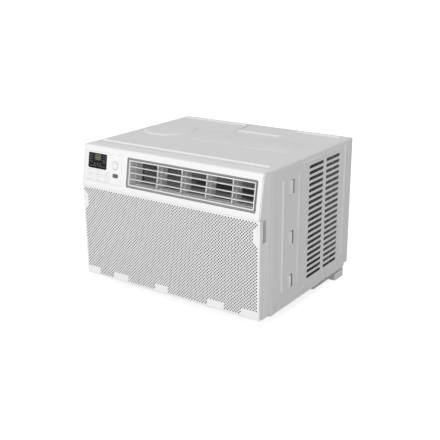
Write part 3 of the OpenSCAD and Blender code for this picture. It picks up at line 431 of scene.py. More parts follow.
def cutSheet(front, back, cell, level, gone):
    # a sheet of two grids of cells: gone cells are left out, a cell that an
    # opening's edge crosses (its level goes below zero at a corner) keeps the
    # triangle outside the chord, and walls join front and back round every edge
    cut = ~gone & (level < -0.01).any(1)
    whole = cell[~gone & ~cut]
    keep = (level[cut].argmin(1)[:, None] + np.array([1, 2, 3])) % 4
    slanted = np.take_along_axis(cell[cut], keep, 1)
    count = len(front)
    edges = np.concatenate([np.stack([f, np.roll(f, -1, 1)], -1).reshape(-1, 2)
                            for f in (whole, slanted)])
    there, reverse = edges[:, 0] * count + edges[:, 1], edges[:, 1] * count + edges[:, 0]
    rim = edges[~np.isin(there, reverse)]
    walls = np.stack([rim[:, 1], rim[:, 0], rim[:, 0] + count, rim[:, 1] + count], -1)
    return np.concatenate([front, back]), [whole, slanted, (whole + count)[:, ::-1],
                                           (slanted + count)[:, ::-1], walls]


def roundedOutline(width, height, radius, steps=6):  # counter-clockwise corner arcs
    turn = np.linspace(0, math.pi / 2, steps + 1)
    arc = np.stack([np.cos(turn), np.sin(turn)], 1) * radius
    corners = []
    for quarter, (sx, sy) in enumerate(((1, 1), (-1, 1), (-1, -1), (1, -1))):
        c, s = math.cos(quarter * math.pi / 2), math.sin(quarter * math.pi / 2)
        spun = np.stack([arc[:, 0] * c - arc[:, 1] * s, arc[:, 0] * s + arc[:, 1] * c], 1)
        corners.append(spun + [sx * (width / 2 - radius), sy * (height / 2 - radius)])
    return np.concatenate(corners)


def circleOutline(radius, steps=32):  # radius times cosine and sine of equal turns
    turn = np.arange(steps) * 2 * math.pi / steps
    return np.stack([np.cos(turn), np.sin(turn)], 1) * radius


def insetOutline(outline, amount):
    # moves each corner inwards along the mean of its two edge normals, to the mitre
    before = outline - np.roll(outline, 1, 0)
    after = np.roll(outline, -1, 0) - outline
    first = np.stack([-before[:, 1], before[:, 0]], 1) / np.linalg.norm(before, axis=1, keepdims=True)
    second = np.stack([-after[:, 1], after[:, 0]], 1) / np.linalg.norm(after, axis=1, keepdims=True)
    mean = first + second
    return outline + amount * mean * 2 / np.maximum((mean ** 2).sum(1, keepdims=True), 0.5)


def slabPart(outline, place, low, high, rim=0.4, steps=3, crown=0.0):
    # an outline carried from low to high, with quarter-round
    # rims; a crown lifts the top by crown * (1 - share squared)
    turn = np.linspace(0, math.pi / 2, steps + 1)
    insets = np.concatenate([rim * (1 - np.sin(turn)), rim * (1 - np.cos(turn))])
    heights = np.concatenate([low + rim * (1 - np.cos(turn)), high - rim * (1 - np.sin(turn))])
    rings = [np.column_stack([insetOutline(outline, inset), np.full(len(outline), height)])
             for inset, height in zip(insets, heights)]
    count = len(outline)
    faces = [gridFaces(len(rings), count, wrapColumns=True), np.arange(count)[::-1][None, :]]
    if crown:
        middle = rings[-1].mean(0)
        for share in (0.8, 0.55, 0.25):
            ring = middle + (rings[len(insets) - 1] - middle) * share
            ring[:, 2] = high + crown * (1 - share ** 2)
            rings.append(ring)
        faces[0] = gridFaces(len(rings), count, wrapColumns=True)
    last = (len(rings) - 1) * count
    faces.append(last + np.arange(count)[None, :])
    points = np.concatenate(rings)
    return place(points[:, 0], points[:, 1], points[:, 2]), faces


def loopPart(outline, profile, place):
    # a closed profile of (inset, height) carried round a closed outline: one ring-shaped moulding
    rings = [np.column_stack([insetOutline(outline, inset), np.full(len(outline), height)])
             for inset, height in profile]
    points = np.concatenate(rings)
    return place(points[:, 0], points[:, 1], points[:, 2]), [
        gridFaces(len(rings), len(outline), wrapRows=True, wrapColumns=True)]


def turnedPart(section, steps, place, sunk=0.0):
    # a turned shape, closed at both ends: each (radius,
    # height) of the section is one ring, lowered by sunk
    turn = np.linspace(0, 2 * math.pi, steps + 1)[:-1]
    radii, heights = np.array(section, float).T[:, :, None]
    rings = np.stack([radii * np.cos(turn), radii * np.sin(turn), heights - sunk + 0 * turn])
    rings = rings.reshape(3, -1)
    first = np.arange(steps)[None]
    return place(*rings), [gridFaces(len(section), steps, wrapColumns=True), first[:, ::-1],
                           first + steps * (len(section) - 1)]


def onPanel(x, v, n):  # the leaning upper panel: x across, v up the face, n out of it
    s, c = math.sin(leanAngle), math.cos(leanAngle)
    return np.column_stack([x, frontY + v * s - n * c, seamZ + v * c + n * s])


def panelAt(x0, v0, n0=0.0):  # the same panel, measured from a place on it
    return lambda x, v, n: onPanel(x + x0, v + v0, n + n0)


def panelAlong(x0, v0, n0):  # an outline in (n, v) carried along x
    return lambda a, b, c: onPanel(c + x0, b + v0, -a + n0)


def outOfTop(x, y, n):  # x across, y back from the front, n above the top
    return np.column_stack([x, frontY + y, topZ + n])


def outOfSide(sign):  # (depth, height) on the side wall, n outwards
    return lambda d, z, n: np.column_stack([sign * (halfWidth + n), frontY + d, z])


def ridgePart(path, place, width, height, sink=0.4, steps=7, capSteps=8):
    # a pressed bead: rings round a centre line that rise while they close in, with half-round ends
    path = np.asarray(path, float)
    run = np.diff(path, axis=0)
    run = run / np.linalg.norm(run, axis=1, keepdims=True)
    side = np.stack([-run[:, 1], run[:, 0]], 1)
    mitre = side[:-1] + side[1:]
    mitre = mitre * 2 / np.maximum((mitre ** 2).sum(1, keepdims=True), 1.0)
    atPoint = np.concatenate([side[:1], mitre, side[-1:]])
    share = np.linspace(0, 1, steps)
    reach = width / 2 * (1 - share)
    lift = -sink + (height + sink) * (0.75 * np.clip(share / 0.8, 0, 1)
                                      + 0.125 * (1 - np.cos(math.pi * np.clip(share / 0.95, 0, 1))))
    turn = np.linspace(0, math.pi, capSteps + 1)[1:-1]
    atStart = math.atan2(side[0, 1], side[0, 0]) + turn
    atEnd = math.atan2(-side[-1, 1], -side[-1, 0]) + turn
    startCap = np.stack([np.cos(atStart), np.sin(atStart)], 1)
    endCap = np.stack([np.cos(atEnd), np.sin(atEnd)], 1)
    rings = []
    for r, h in zip(reach, lift):
        loop = np.concatenate([(path + r * atPoint)[::-1], path[0] + r * startCap, path - r * atPoint,
                               path[-1] + r * endCap])
        rings.append(np.column_stack([loop, np.full(len(loop), h)]))
    count = len(rings[0])
    return place(*np.concatenate(rings).T), [gridFaces(len(rings), count, wrapColumns=True),
                                             np.arange(count)[::-1][None, :]]


def softCopy(name, node, width, body="housing", levels=2, angle=35.0):
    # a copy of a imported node: merged, its flat triangles joined, and its sharp edges rounded
    mesh = nodes[node].data.copy()
    mesh.name = name
    work = bmesh.new()
    work.from_mesh(mesh)
    bmesh.ops.remove_doubles(work, verts=work.verts, dist=0.00001)
    bmesh.ops.dissolve_limit(work, angle_limit=math.radians(1.0), verts=work.verts, edges=work.edges)
    work.to_mesh(mesh)
    work.free()
    piece = bpy.data.objects.new(name, mesh)
    bpy.context.scene.collection.objects.link(piece)
    mesh.polygons.foreach_set("use_smooth", np.ones(len(mesh.polygons), bool))
    mesh.set_sharp_from_angle(angle=math.radians(38))
    rounding = piece.modifiers.new("roundedEdges", "BEVEL")
    rounding.width = width * metre
    rounding.segments = levels
    rounding.limit_method = "ANGLE"
    rounding.angle_limit = math.radians(angle)
    rounding.use_clamp_overlap = False
    mesh.materials.clear()
    mesh.materials.append(finishes[slotOf[node]])
    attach(piece, body)
    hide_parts(node)
    return piece


# Inlet grille: a sheet of staggered round holes with rolled edges and skirts
grille = {"cell": 3.5, "columns": 133, "rows": 59, "holeRadius": 1.87, "thickness": 1.0, "skirt": 11.5,
          "topMargin": 4.2, "padX": 18.0, "padZ": (158.0, 200.0), "dish": 1.1, "edgeY": 3.0,
          "solidPads": ((0, 39), (84, 123), (200, 236), (340, 382), (426, 470)), "padTop": 19.7,
          "lowest": 7.4, "bottomMargin": 2.0, "sideMargin": 4.0, "dishReach": (14.0, 20.0),
          "hingeHeight": 6.5, "hingeRound": 5.0, "lowSkirt": (217, 10.0, 3.2)}


def grilleHolesWanted(x, z):  # true where a cell centre is perforated
    fromLeft, fromBase = x + halfWidth, z - baseZ
    lift = fromBase > grille["padTop"]
    low = fromBase > grille["lowest"]
    for start, end in grille["solidPads"]:
        low = low & ~((fromLeft > start) & (fromLeft < end))
    middle = sum(grille["padZ"]) / 2
    half = (grille["padZ"][1] - grille["padZ"][0]) / 2
    pad = ((halfWidth - np.abs(x)) / grille["padX"]) ** 2 + ((fromBase - middle) / half) ** 2 < 1
    within = (z < grilleHigh[2] - grille["topMargin"]) & (np.abs(x) < halfWidth - grille["sideMargin"])
    return (lift | low) & ~pad & within


def buildGrille():
    # a grid of square cells; every second one holds a
    # ring of eight corners round its hole, front and back
    cell, columns, rows, thick = grille["cell"], grille["columns"], grille["rows"], grille["thickness"]
    x = (np.arange(columns + 1) - columns / 2) * cell
    z = grilleLow[2] + grille["bottomMargin"] + np.arange(rows + 1) * cell
    xx, zz = np.meshgrid(x, z)
    centreX, centreZ = np.meshgrid((x[1:] + x[:-1]) / 2, (z[1:] + z[:-1]) / 2)
    i, j = np.meshgrid(np.arange(columns), np.arange(rows))
    holed = ((i + j) % 2 == 0) & grilleHolesWanted(centreX, centreZ)

    def dish(px, pz):  # the finger pads at both sides sink a little
        middle = baseZ + sum(grille["padZ"]) / 2
        across, up = grille["dishReach"]
        reach = ((halfWidth - np.abs(px)) / across) ** 2 + ((pz - middle) / up) ** 2
        return grille["dish"] * np.clip(1 - reach, 0, 1) ** 0.5

    def face(px, pz, depth):  # a point of the sheet, depth behind its front
        return np.column_stack([px, frontY + depth + dish(px, pz), pz])

    front, back = face(xx.ravel(), zz.ravel(), 0.0), face(xx.ravel(), zz.ravel(), thick)
    count = (columns + 1) * (rows + 1)
    a = (j * (columns + 1) + i)
    # low left, low right, top right, top left
    corner = np.stack([a, a + 1, a + columns + 2, a + columns + 1], -1)
    plain = corner[~holed]
    ring = corner[holed]
    cx, cz = centreX[holed], centreZ[holed]
    turn = math.radians(22.5) + np.arange(8) * math.pi / 4
    hx = (cx[:, None] + grille["holeRadius"] * np.cos(turn)).ravel()
    hz = (cz[:, None] + grille["holeRadius"] * np.sin(turn)).ravel()
    frontHole, backHole = face(hx, hz, 0.0), face(hx, hz, thick)
    # hole corners 0 and 7 face the right side, 1 and 2 the top, 3 and 4 the left, 5 and 6 the bottom
    hole = 2 * count + np.arange(len(cx))[:, None] * 8 + np.arange(8)
    ll, lr, tr, tl = ring.T
    quads = np.concatenate([np.stack(q, -1) for q in (
        (lr, tr, hole[:, 0], hole[:, 7]), (tr, tl, hole[:, 2], hole[:, 1]),
        (tl, ll, hole[:, 4], hole[:, 3]), (ll, lr, hole[:, 6], hole[:, 5]))])
    triangles = np.concatenate([np.stack(t, -1) for t in (
        (tr, hole[:, 1], hole[:, 0]), (tl, hole[:, 3], hole[:, 2]),
        (ll, hole[:, 5], hole[:, 4]), (lr, hole[:, 7], hole[:, 6]))])
    shift = 8 * len(cx)

    def behind(faces):  # the same faces on the back sheet, turned round
        return np.where(faces < count, faces + count, faces + shift)[:, ::-1]

    k = np.arange(8)
    wall = np.stack([hole[:, k], hole[:, (k + 1) % 8], hole[:, (k + 1) % 8] + shift, hole[:, k] + shift],
                    -1).reshape(-1, 4)
    # rim: the sheet's border goes over a rounded edge, back along the skirt and up its inside
    bottom = np.arange(columns + 1)
    right = bottom[-1] + (columns + 1) * np.arange(1, rows + 1)
    topRow = right[-1] - np.arange(1, columns + 1)
    left = topRow[-1] - (columns + 1) * np.arange(1, rows)
    border = np.concatenate([bottom, right, topRow, left])
    px, pz = front[border, 0], front[border, 2]
    outX = np.where(px > x[-1] - 0.01, 1.0, 0) - np.where(px < x[0] + 0.01, 1.0, 0)
    outZ = np.where(pz > z[-1] - 0.01, 1.0, 0) - np.where(pz < z[0] + 0.01, 1.0, 0)
    reachX = grilleHigh[0] - x[-1]
    reachZ = np.where(outZ > 0, grilleHigh[2] - z[-1], z[0] - grilleLow[2])
    height = pz - baseZ
    hinge = grille["hingeHeight"]
    ear = hinge + np.sqrt(np.clip(grille["hingeRound"] ** 2 - (hinge - height) ** 2, 0, None))
    reach, deep, shallow = grille["lowSkirt"]
    skirt = np.where(height < hinge, ear, grille["skirt"])
    skirt = np.where(outZ < 0, np.where(np.abs(px) < reach, deep, shallow), skirt)
    first = len(front) + len(back) + 2 * shift
    rims = []
    profile = [(math.sin(t), 1 - math.cos(t), 0) for t in np.radians([22.5, 45, 67.5, 90])]
    profile += [(1.0, None, -0.5), (0.72, None, 0.0), (0.28, None, 0.0), (0.0, None, -0.5)]
    for out, rounded, tail in profile:
        if rounded is None:
            y = frontY + np.maximum(skirt + tail, grille["edgeY"])
        else:
            y = frontY + grille["edgeY"] * rounded + dish(px, pz) * (1 - out)
        rims.append(np.column_stack([px + outX * reachX * out, y, pz + outZ * reachZ * out]))
    rimPoints = np.concatenate(rims)
    n = len(border)
    ringIds = np.concatenate([border[None], first + np.arange(len(rims) * n).reshape(len(rims), n),
                              border[None] + count])
    k = np.arange(n)
    rimFaces = np.concatenate([np.stack([ringIds[r, (k + 1) % n], ringIds[r, k], ringIds[r + 1, k],
                                         ringIds[r + 1, (k + 1) % n]], -1)
                               for r in range(len(ringIds) - 1)])
    points = np.concatenate([front, back, frontHole, backHole, rimPoints])
    sets = [plain, behind(plain), quads, triangles, behind(quads), behind(triangles), wall, rimFaces]
    return points, sets


putMesh("grillePanel", [buildGrille()], "grille", "bezel_plastic", "inlet_grille", sharp=30)
print("grille made")


# Cabinet: one bent sheet with vents cut through it, and its pressed beads
cabinet = {"sheet": 1.1, "lineGaps": (14.0, 20.0), "corner": 4.0, "bend": 2.4, "flange": 12.0,
           "start": 42.0, "low": baseZ - 4.0, "ventDepths": (224.0, 299.0), "ventLength": 64.0,
           "ventHeight": 7.5, "ventRows": 20, "ventFirst": baseZ + 31.4, "ventPitch": 12.98,
           "hookDepth": 126.0, "hookSize": (8.0, 30.0),
           "hookHeights": (baseZ + 47.5, baseZ + 144.5, baseZ + 253.5), "notch": (376.0, baseZ + 3.6),
           "dents": ((61.0, 75.0, baseZ + 14.0), (281.0, 296.0, baseZ + 16.0)), "dentDepth": 1.7,
           "beadWidth": 5.8, "beadHeight": 3.2, "beadEnd": 4.0,
           "sideBeads": ((84, 31, 276), (148, 30, 276), (356, 33, 297)),
           "ventBead": {"depths": (167, 250, 328), "height": 291.5, "width": 5.6, "lift": 1.9},
           "lance": ((110.4, -0.6), (116.4, 2.8), (118.8, 3.0), (118.8, 3.9), (116.2, 3.9), (114.9, 3.5),
                     (109.0, 0.1), (108.6, -0.6)),
           "sideDimple": (141, 12), "frontBead": ((-222, 63), (0, 63), (216, 63)),
           "rearBead": ((-219, 372), (-60, 372), (-39, 372), (-33, 366), (-24, 314), (-17, 308), (30, 308),
                        (88, 308), (94, 314), (98, 366), (103, 372), (150, 372), (213, 372)),
           "boss": (-164, 232),
           "bossSection": ((64.0, -0.6), (63.2, 0.1), (62.2, 0.9), (61.0, 2.0), (59.8, 2.9), (58.8, 3.25),
                           (57.6, 3.4), (38.0, 3.4), (14.0, 3.4)),
           "pads": ((-80, 40), (63, 190)), "padBack": 233, "padLength": 103, "padRadius": 14,
           "topDimples": ((147, 289), (-43, 291))}


def mergeLines(needed, wished, gap):
    # keeps every needed line, and the wished ones that stand clear of them
    needed = np.unique(np.round(needed, 4))
    wished = np.asarray(wished, float)
    clear = wished[np.abs(wished[:, None] - needed[None]).min(1) > gap]
    return np.unique(np.concatenate([needed, clear]))


def buildSheet():
    # the section (right wall, rounded corner, top, corner, left wall)
    # carried along the depth (flange, bend, wall, bend, flange); grid
    # lines lie on every edge of a vent, hook slot, notch or dent
    c = cabinet
    arcs = np.radians([0, 22.5, 45, 67.5, 90])
    radius = c["ventHeight"] / 2
    ventZ = c["ventFirst"] + np.arange(c["ventRows"]) * c["ventPitch"]
    offsets = np.concatenate([radius * np.sin(arcs), -radius * np.sin(arcs[1:])])
    hookZ = np.array([[h - c["hookSize"][1] / 2, h + c["hookSize"][1] / 2]
                      for h in c["hookHeights"]]).ravel()
    low, high = c["low"], topZ - c["corner"]
    dentZ = np.array([[d[2] - 2.5, d[2]] for d in c["dents"]]).ravel()
    sideZ = mergeLines(np.concatenate([(ventZ[:, None] + offsets).ravel(), [low, high, c["notch"][1]]]),
                       np.concatenate([hookZ, dentZ]), 0.25)
    sideZ = mergeLines(sideZ, np.arange(low, high, c["lineGaps"][0]), 4.0)
    turn = np.linspace(0, math.pi / 2, 7)[1:-1]
    topX = np.linspace(halfWidth - c["corner"], -halfWidth + c["corner"], 25)
    # the section, from the lower right edge up, over the
    # top and down the left: position and outward normal
    cornerX, cornerZ = halfWidth - c["corner"], topZ - c["corner"]
    px = np.concatenate([np.full(len(sideZ), halfWidth), cornerX + c["corner"] * np.cos(turn), topX,
                         -cornerX - c["corner"] * np.sin(turn), np.full(len(sideZ), -halfWidth)])
    pz = np.concatenate([sideZ, cornerZ + c["corner"] * np.sin(turn), np.full(len(topX), topZ),
                         cornerZ + c["corner"] * np.cos(turn), sideZ[::-1]])
    nx = np.concatenate([np.ones(len(sideZ)), np.cos(turn), np.zeros(len(topX)), -np.sin(turn),
                         -np.ones(len(sideZ))])
    nz = np.concatenate([np.zeros(len(sideZ)), np.sin(turn), np.ones(len(topX)), np.cos(turn),
                         np.zeros(len(sideZ))])
    onSide = np.abs(nx) > 0.999
    # the run along the depth: front flange, bend, wall, bend, rear flange, as (inset, depth, normal)
    half = c["ventLength"] / 2 - radius
    ends = np.concatenate([half + radius * np.cos(arcs), -half - radius * np.cos(arcs)])
    ventD = (np.array(c["ventDepths"])[:, None] + ends).ravel()
    hookD = [c["hookDepth"] - c["hookSize"][0] / 2, c["hookDepth"] + c["hookSize"][0] / 2]
    dentD = np.array([[d[0], d[0] + 2, d[1] - 2.5, d[1]] for d in c["dents"]]).ravel()
    wallEnds = [c["notch"][0], c["start"] + c["bend"], rearY - frontY - c["bend"]]
    wallD = mergeLines(np.concatenate([ventD, wallEnds]), np.concatenate([hookD, dentD]), 0.2)
    wallD = mergeLines(wallD, np.arange(50.0, 390.0, c["lineGaps"][1]), 4.0)
    bend = np.linspace(0, math.pi / 2, 5)
    b, full = c["bend"], rearY - frontY
    inset = np.concatenate([[c["flange"]], b - b * np.sin(bend[:-1]), np.zeros(len(wallD)),
                            b - b * np.cos(bend[1:]), [c["flange"]]])
    depth = np.concatenate([[c["start"]], c["start"] + b - b * np.cos(bend[:-1]), wallD,
                            full - b + b * np.sin(bend[1:]), [full]])
    insetN = np.concatenate([[0.0], -np.sin(bend[:-1]), -np.ones(len(wallD)), -np.cos(bend[1:]), [0.0]])
    depthN = np.concatenate([[-1.0], -np.cos(bend[:-1]), np.zeros(len(wallD)), np.sin(bend[1:]), [1.0]])

    def layer(thick):  # the sheet's outer face moved inwards by thick, along the section's own normal
        k = (inset - thick * insetN)[None, :] + dentAt()
        y = (depth - thick * depthN)[None, :] + 0 * pz[:, None]
        square = np.maximum(k, c["corner"])
        x = np.where(onSide[:, None], np.sign(px)[:, None] * (halfWidth - k),
                     np.clip(px[:, None], -(halfWidth - square), halfWidth - square))
        z = np.where(onSide[:, None], np.minimum(pz[:, None], topZ - square), topZ - k)
        onArc = (np.abs(nx) > 0.001) & ~onSide
        left = np.maximum(c["corner"] - k, 0)
        x = np.where(onArc[:, None], np.sign(nx)[:, None] * (halfWidth - square) + left * nx[:, None], x)
        z = np.where(onArc[:, None], topZ - square + left * nz[:, None], z)
        return np.stack([x, frontY + y, z], -1).reshape(-1, 3)

    def dentAt():  # shallow pockets for the lower screws
        sunk = np.zeros((len(px), len(depth)))
        for start, end, height in c["dents"]:
            across = np.clip(np.minimum((depth - start) / 2, (end - depth) / 2.5), 0, 1)[None]
            up = np.clip((height - pz) / 2.5, 0, 1)[:, None] * onSide[:, None]
            sunk = sunk + c["dentDepth"] * across * up * (np.abs(insetN)[None] > 0.999)
        return sunk

    rows, columns = len(px), len(depth)
    # what is cut: distance to the nearest stadium outline, at every grid crossing
    zz, dd = pz[:, None] + 0 * depth[None], depth[None] + 0 * pz[:, None]

    def ventLevel(z, d):  # distance to the nearest round-ended slot, below zero inside it
        beyond = np.stack([np.maximum(np.abs(d - centre) - half, 0) for centre in c["ventDepths"]]).min(0)
        return np.hypot(beyond[..., None], np.abs(z[..., None] - ventZ)).min(-1) - radius

    inVent = np.where(onSide[:, None], ventLevel(zz, dd), 99.0)
    cell = gridFaces(rows, columns)
    level = inVent.ravel()[cell]
    midZ, midD = zz.ravel()[cell].mean(1), dd.ravel()[cell].mean(1)
    sideCell = onSide.repeat(columns)[cell].all(1)
    isHook = sideCell & (np.abs(midD - c["hookDepth"]) < 4) & (
        np.abs(midZ[:, None] - np.array(c["hookHeights"])).min(1) < c["hookSize"][1] / 2)
    isNotch = sideCell & (midD > c["notch"][0]) & (midZ < c["notch"][1])
    centreLevel = np.where(sideCell, ventLevel(midZ, midD), 99.0)
    inside = ((level < 0.01).all(1) & (centreLevel < 0)) | isHook | isNotch
    return cutSheet(layer(0.0), layer(c["sheet"]), cell, level, inside)


def buildCabinet():  # the sheet, its pressed beads, hook lances and dimples, and the boss and pads on top
    c = cabinet
    parts = [buildSheet()]
    for sign in (-1, 1):
        wall = outOfSide(sign)
        for d, z0, z1 in c["sideBeads"]:
            run = [(d, baseZ + z0 + c["beadEnd"]), (d, baseZ + (z0 + z1) / 2),
                   (d, baseZ + z1 - c["beadEnd"])]
            parts.append(ridgePart(run, wall, c["beadWidth"], c["beadHeight"]))
        over = c["ventBead"]
        parts.append(ridgePart([(d, baseZ + over["height"]) for d in over["depths"]], wall, over["width"],
                               over["lift"]))
        for h in c["hookHeights"]:
            place = (lambda a, b, e, s=sign, m=h: np.column_stack(
                [s * (halfWidth + b), frontY + a, m + e]))
            halfHook = c["hookSize"][1] / 2
            parts.append(slabPart(np.array(c["lance"]), place, -halfHook, halfHook, 0.25, 2))
        depth, height = c["sideDimple"]
        place = (lambda a, b, e, s=sign, d=depth, h=height: np.column_stack(
            [s * (halfWidth + e), frontY + d + a, baseZ + h + b]))
        parts.append(slabPart(circleOutline(2.6, 16), place, -0.4, 1.1, 0.7, 3))
    for run in (c["frontBead"], c["rearBead"]):
        parts.append(ridgePart(run, outOfTop, c["beadWidth"], c["beadHeight"]))
    bossX, bossY = c["boss"]
    parts.append(turnedPart(c["bossSection"], 96, lambda x, y, n: outOfTop(x + bossX, y + bossY, n)))
    for x0, x1 in c["pads"]:
        pad = roundedOutline(x1 - x0, c["padLength"], c["padRadius"])
        place = (lambda x, y, n, m=(x0 + x1) / 2: outOfTop(x + m, y + c["padBack"], n))
        parts.append(slabPart(pad, place, -0.5, 0.35, 0.8, 4))
    for x, d in c["topDimples"]:
        place = (lambda a, b, n, x0=x, d0=d: outOfTop(a + x0, b + d0, n))
        parts.append(slabPart(circleOutline(3.4, 20), place, -0.4, 1.2, 1.0, 4))
    return parts


putMesh("cabinetShell", buildCabinet(), "housing", "cabinet_paint", "cabinet_wrap", sharp=32)
print("cabinet made")

# Bezel: a bent front sheet with two openings, between two cheeks with finger pockets
bezel = {"depth": 42.0, "wall": 2.5, "round": 5.0, "lip": 0.7, "cheek": 3.5, "rim": 1.9, "ledge": 15.0,
         "grilleGap": 12.0, "outlet": (57.6, 45.3, 330.0, 65.0), "fascia": (-175.25, 45.8, 106.5, 66.0),
         "corner": 3.0, "pocketZ": (163.0, 209.5), "pocketBack": 25.0, "pocketDeep": 9.0,
         "pocketWall": 2.2, "step": 0.6, "drop": 0.7, "bossRadius": 6.2, "bossX": 227.0,
         "bossZ": (16.0, 150.0), "lineGaps": (20.0, 12.0)}


def bezelSection():
    # (depth, height) from the rear of the top, over the front corner, down the face, to the ledge's rear
    r, lip, low = bezel["round"], bezel["lip"], seamZ - bezel["drop"]
    reach = r / math.tan((math.pi / 2 + leanAngle) / 2)
    centre = np.array([leanDepth + reach, topZ - r])
    turn = np.linspace(math.pi / 2, math.pi - leanAngle, 8)
    corner = centre + r * np.stack([np.cos(turn), np.sin(turn)], 1)
    b = np.linspace(0, math.pi / 2, 5)
    edge = np.array([lip, low + lip]) + lip * np.stack([-np.cos(b), -np.sin(b)], 1)
    top = np.stack([np.linspace(bezel["depth"], corner[0, 0] + 2, 4), np.full(4, topZ)], 1)
    faceTop = (corner[-1, 1] - seamZ) / math.cos(leanAngle)
    return top, corner, faceTop, edge


def sheetWithHoles(surface, back, across, along, holes):
    # a grid of two line sets, its back sheet, and rounded openings (x, v, width, height) cut through both
    a, b = np.meshgrid(across, along)
    rows, columns = a.shape
    cell = gridFaces(rows, columns)

    def holeLevel(px, pv):  # distance to the nearest rounded rectangle, below zero inside it
        level = np.full(px.shape, 99.0)
        for x, v, w, h in holes:
            r = bezel["corner"]
            dx, dv = np.abs(px - x) - w / 2 + r, np.abs(pv - v) - h / 2 + r
            level = np.minimum(level, np.hypot(np.maximum(dx, 0), np.maximum(dv, 0))
                               + np.minimum(np.maximum(dx, dv), 0) - r)
        return level

    level = holeLevel(a, b).ravel()[cell]
    middle = holeLevel(a.ravel()[cell].mean(1), b.ravel()[cell].mean(1))
    inside = (level < 0.01).all(1) & (middle < 0)
    return cutSheet(surface, back, cell, level, inside)


def buildFace():  # the section carried across, with grid lines on both openings; returns the section too
    top, corner, faceTop, edge = bezelSection()
    arcs = bezel["corner"] * (1 - np.cos(np.radians([0, 22.5, 45, 67.5, 90])))
    needX, needV = [], []
    for x, v, w, h in (bezel["outlet"], bezel["fascia"]):
        needX += [x - w / 2 + arcs, x + w / 2 - arcs]
        needV += [v - h / 2 + arcs, v + h / 2 - arcs]
    xMax = halfWidth - bezel["cheek"]
    gapX, gapV = bezel["lineGaps"]
    xLines = mergeLines(np.concatenate(needX + [[-xMax, xMax]]), np.arange(-220, 221, gapX), 5.0)
    v = mergeLines(np.concatenate(needV + [[0.0]]), np.arange(8, faceTop - 2, gapV), 3.0)
    s, c = math.sin(leanAngle), math.cos(leanAngle)
    face = np.stack([v[::-1] * s, seamZ + v[::-1] * c], 1)
    ledge = np.stack([np.array([6.0, 11.0, bezel["ledge"]]), np.full(3, seamZ - bezel["drop"])], 1)
    section = np.concatenate([top, corner, face, edge, ledge])
    step = np.gradient(section, axis=0)
    normal = np.stack([step[:, 1], -step[:, 0]], 1) / np.linalg.norm(step, axis=1, keepdims=True)
    inner = section - bezel["wall"] * normal
    inner[:, 1] = np.clip(inner[:, 1], seamZ - bezel["drop"] + bezel["wall"], topZ - bezel["wall"])
    inner[:len(top), 0], inner[-1, 0] = section[:len(top), 0], section[-1, 0]
    # heights up the face; lines off the face get far values of their own, so no opening reaches them
    far = 500.0
    vLine = np.concatenate([np.full(len(top) + len(corner), far), v[::-1],
                            np.full(len(edge) + len(ledge), -far)])
    vLine = np.where(np.abs(vLine) == far, vLine - np.arange(len(vLine)) * 0.01, vLine)

    def carried(line):  # a (depth, height) line at every x
        xx, row = np.meshgrid(xLines, np.arange(len(line)))
        return np.column_stack([xx.ravel(), frontY + line[row.ravel(), 0], line[row.ravel(), 1]])

    openings = (bezel["outlet"], bezel["fascia"])
    return section, sheetWithHoles(carried(section), carried(inner), xLines, vLine, openings)


def buildCheek(sign, section):
    # the side outline as a rounded slab, notched for a pocket of four walls, and two posts
    gap, rear, back = bezel["grilleGap"], bezel["depth"], bezel["pocketBack"]
    low, high = (baseZ + z for z in bezel["pocketZ"])
    notched = [(gap, seamZ - bezel["drop"]), (gap, high + 2), (gap, high), (back, high), (back, low),
               (gap, low), (gap, low - 2), (gap, baseZ), (rear, baseZ)]
    outline = np.concatenate([section[:-2], notched])
    outline = outline[np.linalg.norm(outline - np.roll(outline, 1, 0), axis=1) > 0.05]
    place = (lambda d, z, n: np.column_stack([sign * n, frontY + d, z]))
    xMax = halfWidth - bezel["cheek"]
    parts = [slabPart(outline, place, xMax, halfWidth - bezel["step"], bezel["rim"], 5)]
    deep, wall, front, reach = halfWidth - bezel["pocketDeep"], bezel["pocketWall"], gap + 3, xMax + 0.6
    for d0, d1, z0, z1, x0, x1 in ((front, back + wall, low - wall, high + wall, deep - wall, deep),
                                   (back, back + wall, low - wall, high + wall, deep - 0.1, reach),
                                   (front, back + 0.1, low - wall, low, deep - 0.1, reach),
                                   (front, back + 0.1, high, high + wall, deep - 0.1, reach)):
        box = roundedOutline(d1 - d0, z1 - z0, 0.3, 2) + [(d0 + d1) / 2, (z0 + z1) / 2]
        parts.append(slabPart(box, place, x0, x1, 0.15, 1))
    for z in bezel["bossZ"]:
        around = (lambda a, b, n, h=z: np.column_stack(
            [sign * bezel["bossX"] + a, frontY + n, baseZ + h + b]))
        post = circleOutline(bezel["bossRadius"], 28)
        parts.append(slabPart(post, around, bezel["ledge"], bezel["depth"] - 0.1, 0.4, 2))
    return parts


def buildBezel():  # the face sheet between its two cheeks
    section, sheet = buildFace()
    return [sheet] + buildCheek(-1, section) + buildCheek(1, section)


putMesh("bezelShell", buildBezel(), "housing", "bezel_plastic", ["front_bezel", "bezel_cheeks"], sharp=30)
print("bezel made")


# Outlet: grey surround, inner frame with ribs, level blades, upright vanes and their links
outlet = {"middle": (57.6, 45.3), "opening": (330.0, 65.0), "frame": (319.4, 55.5), "bar": 2.5,
          "gap": 0.6, "front": -0.6, "back": -22.0, "ribs": 4, "ribPitch": 63.8, "ribShift": 2.0,
          "ribWidth": 3.0, "ribDepth": 6.0, "carrier": (-44.0, -22.3)}
blade = {"pitch": 13.4, "chord": 11.0, "thick": 2.0, "behind": -7.5, "endGap": 0.8, "pin": 1.2,
         "pinIn": 6.0, "arm": (8.5, 1.6), "linkPin": 0.8}
vane = {"chord": 28.0, "nose": 7.0, "halfThick": 0.8, "pivot": -31.0, "window": (4.8, 8.1),
        "front": (13.6, 1.6), "hub": 2.0, "pin": 1.4, "linkPin": 0.8, "linkAt": (12, 3.2)}


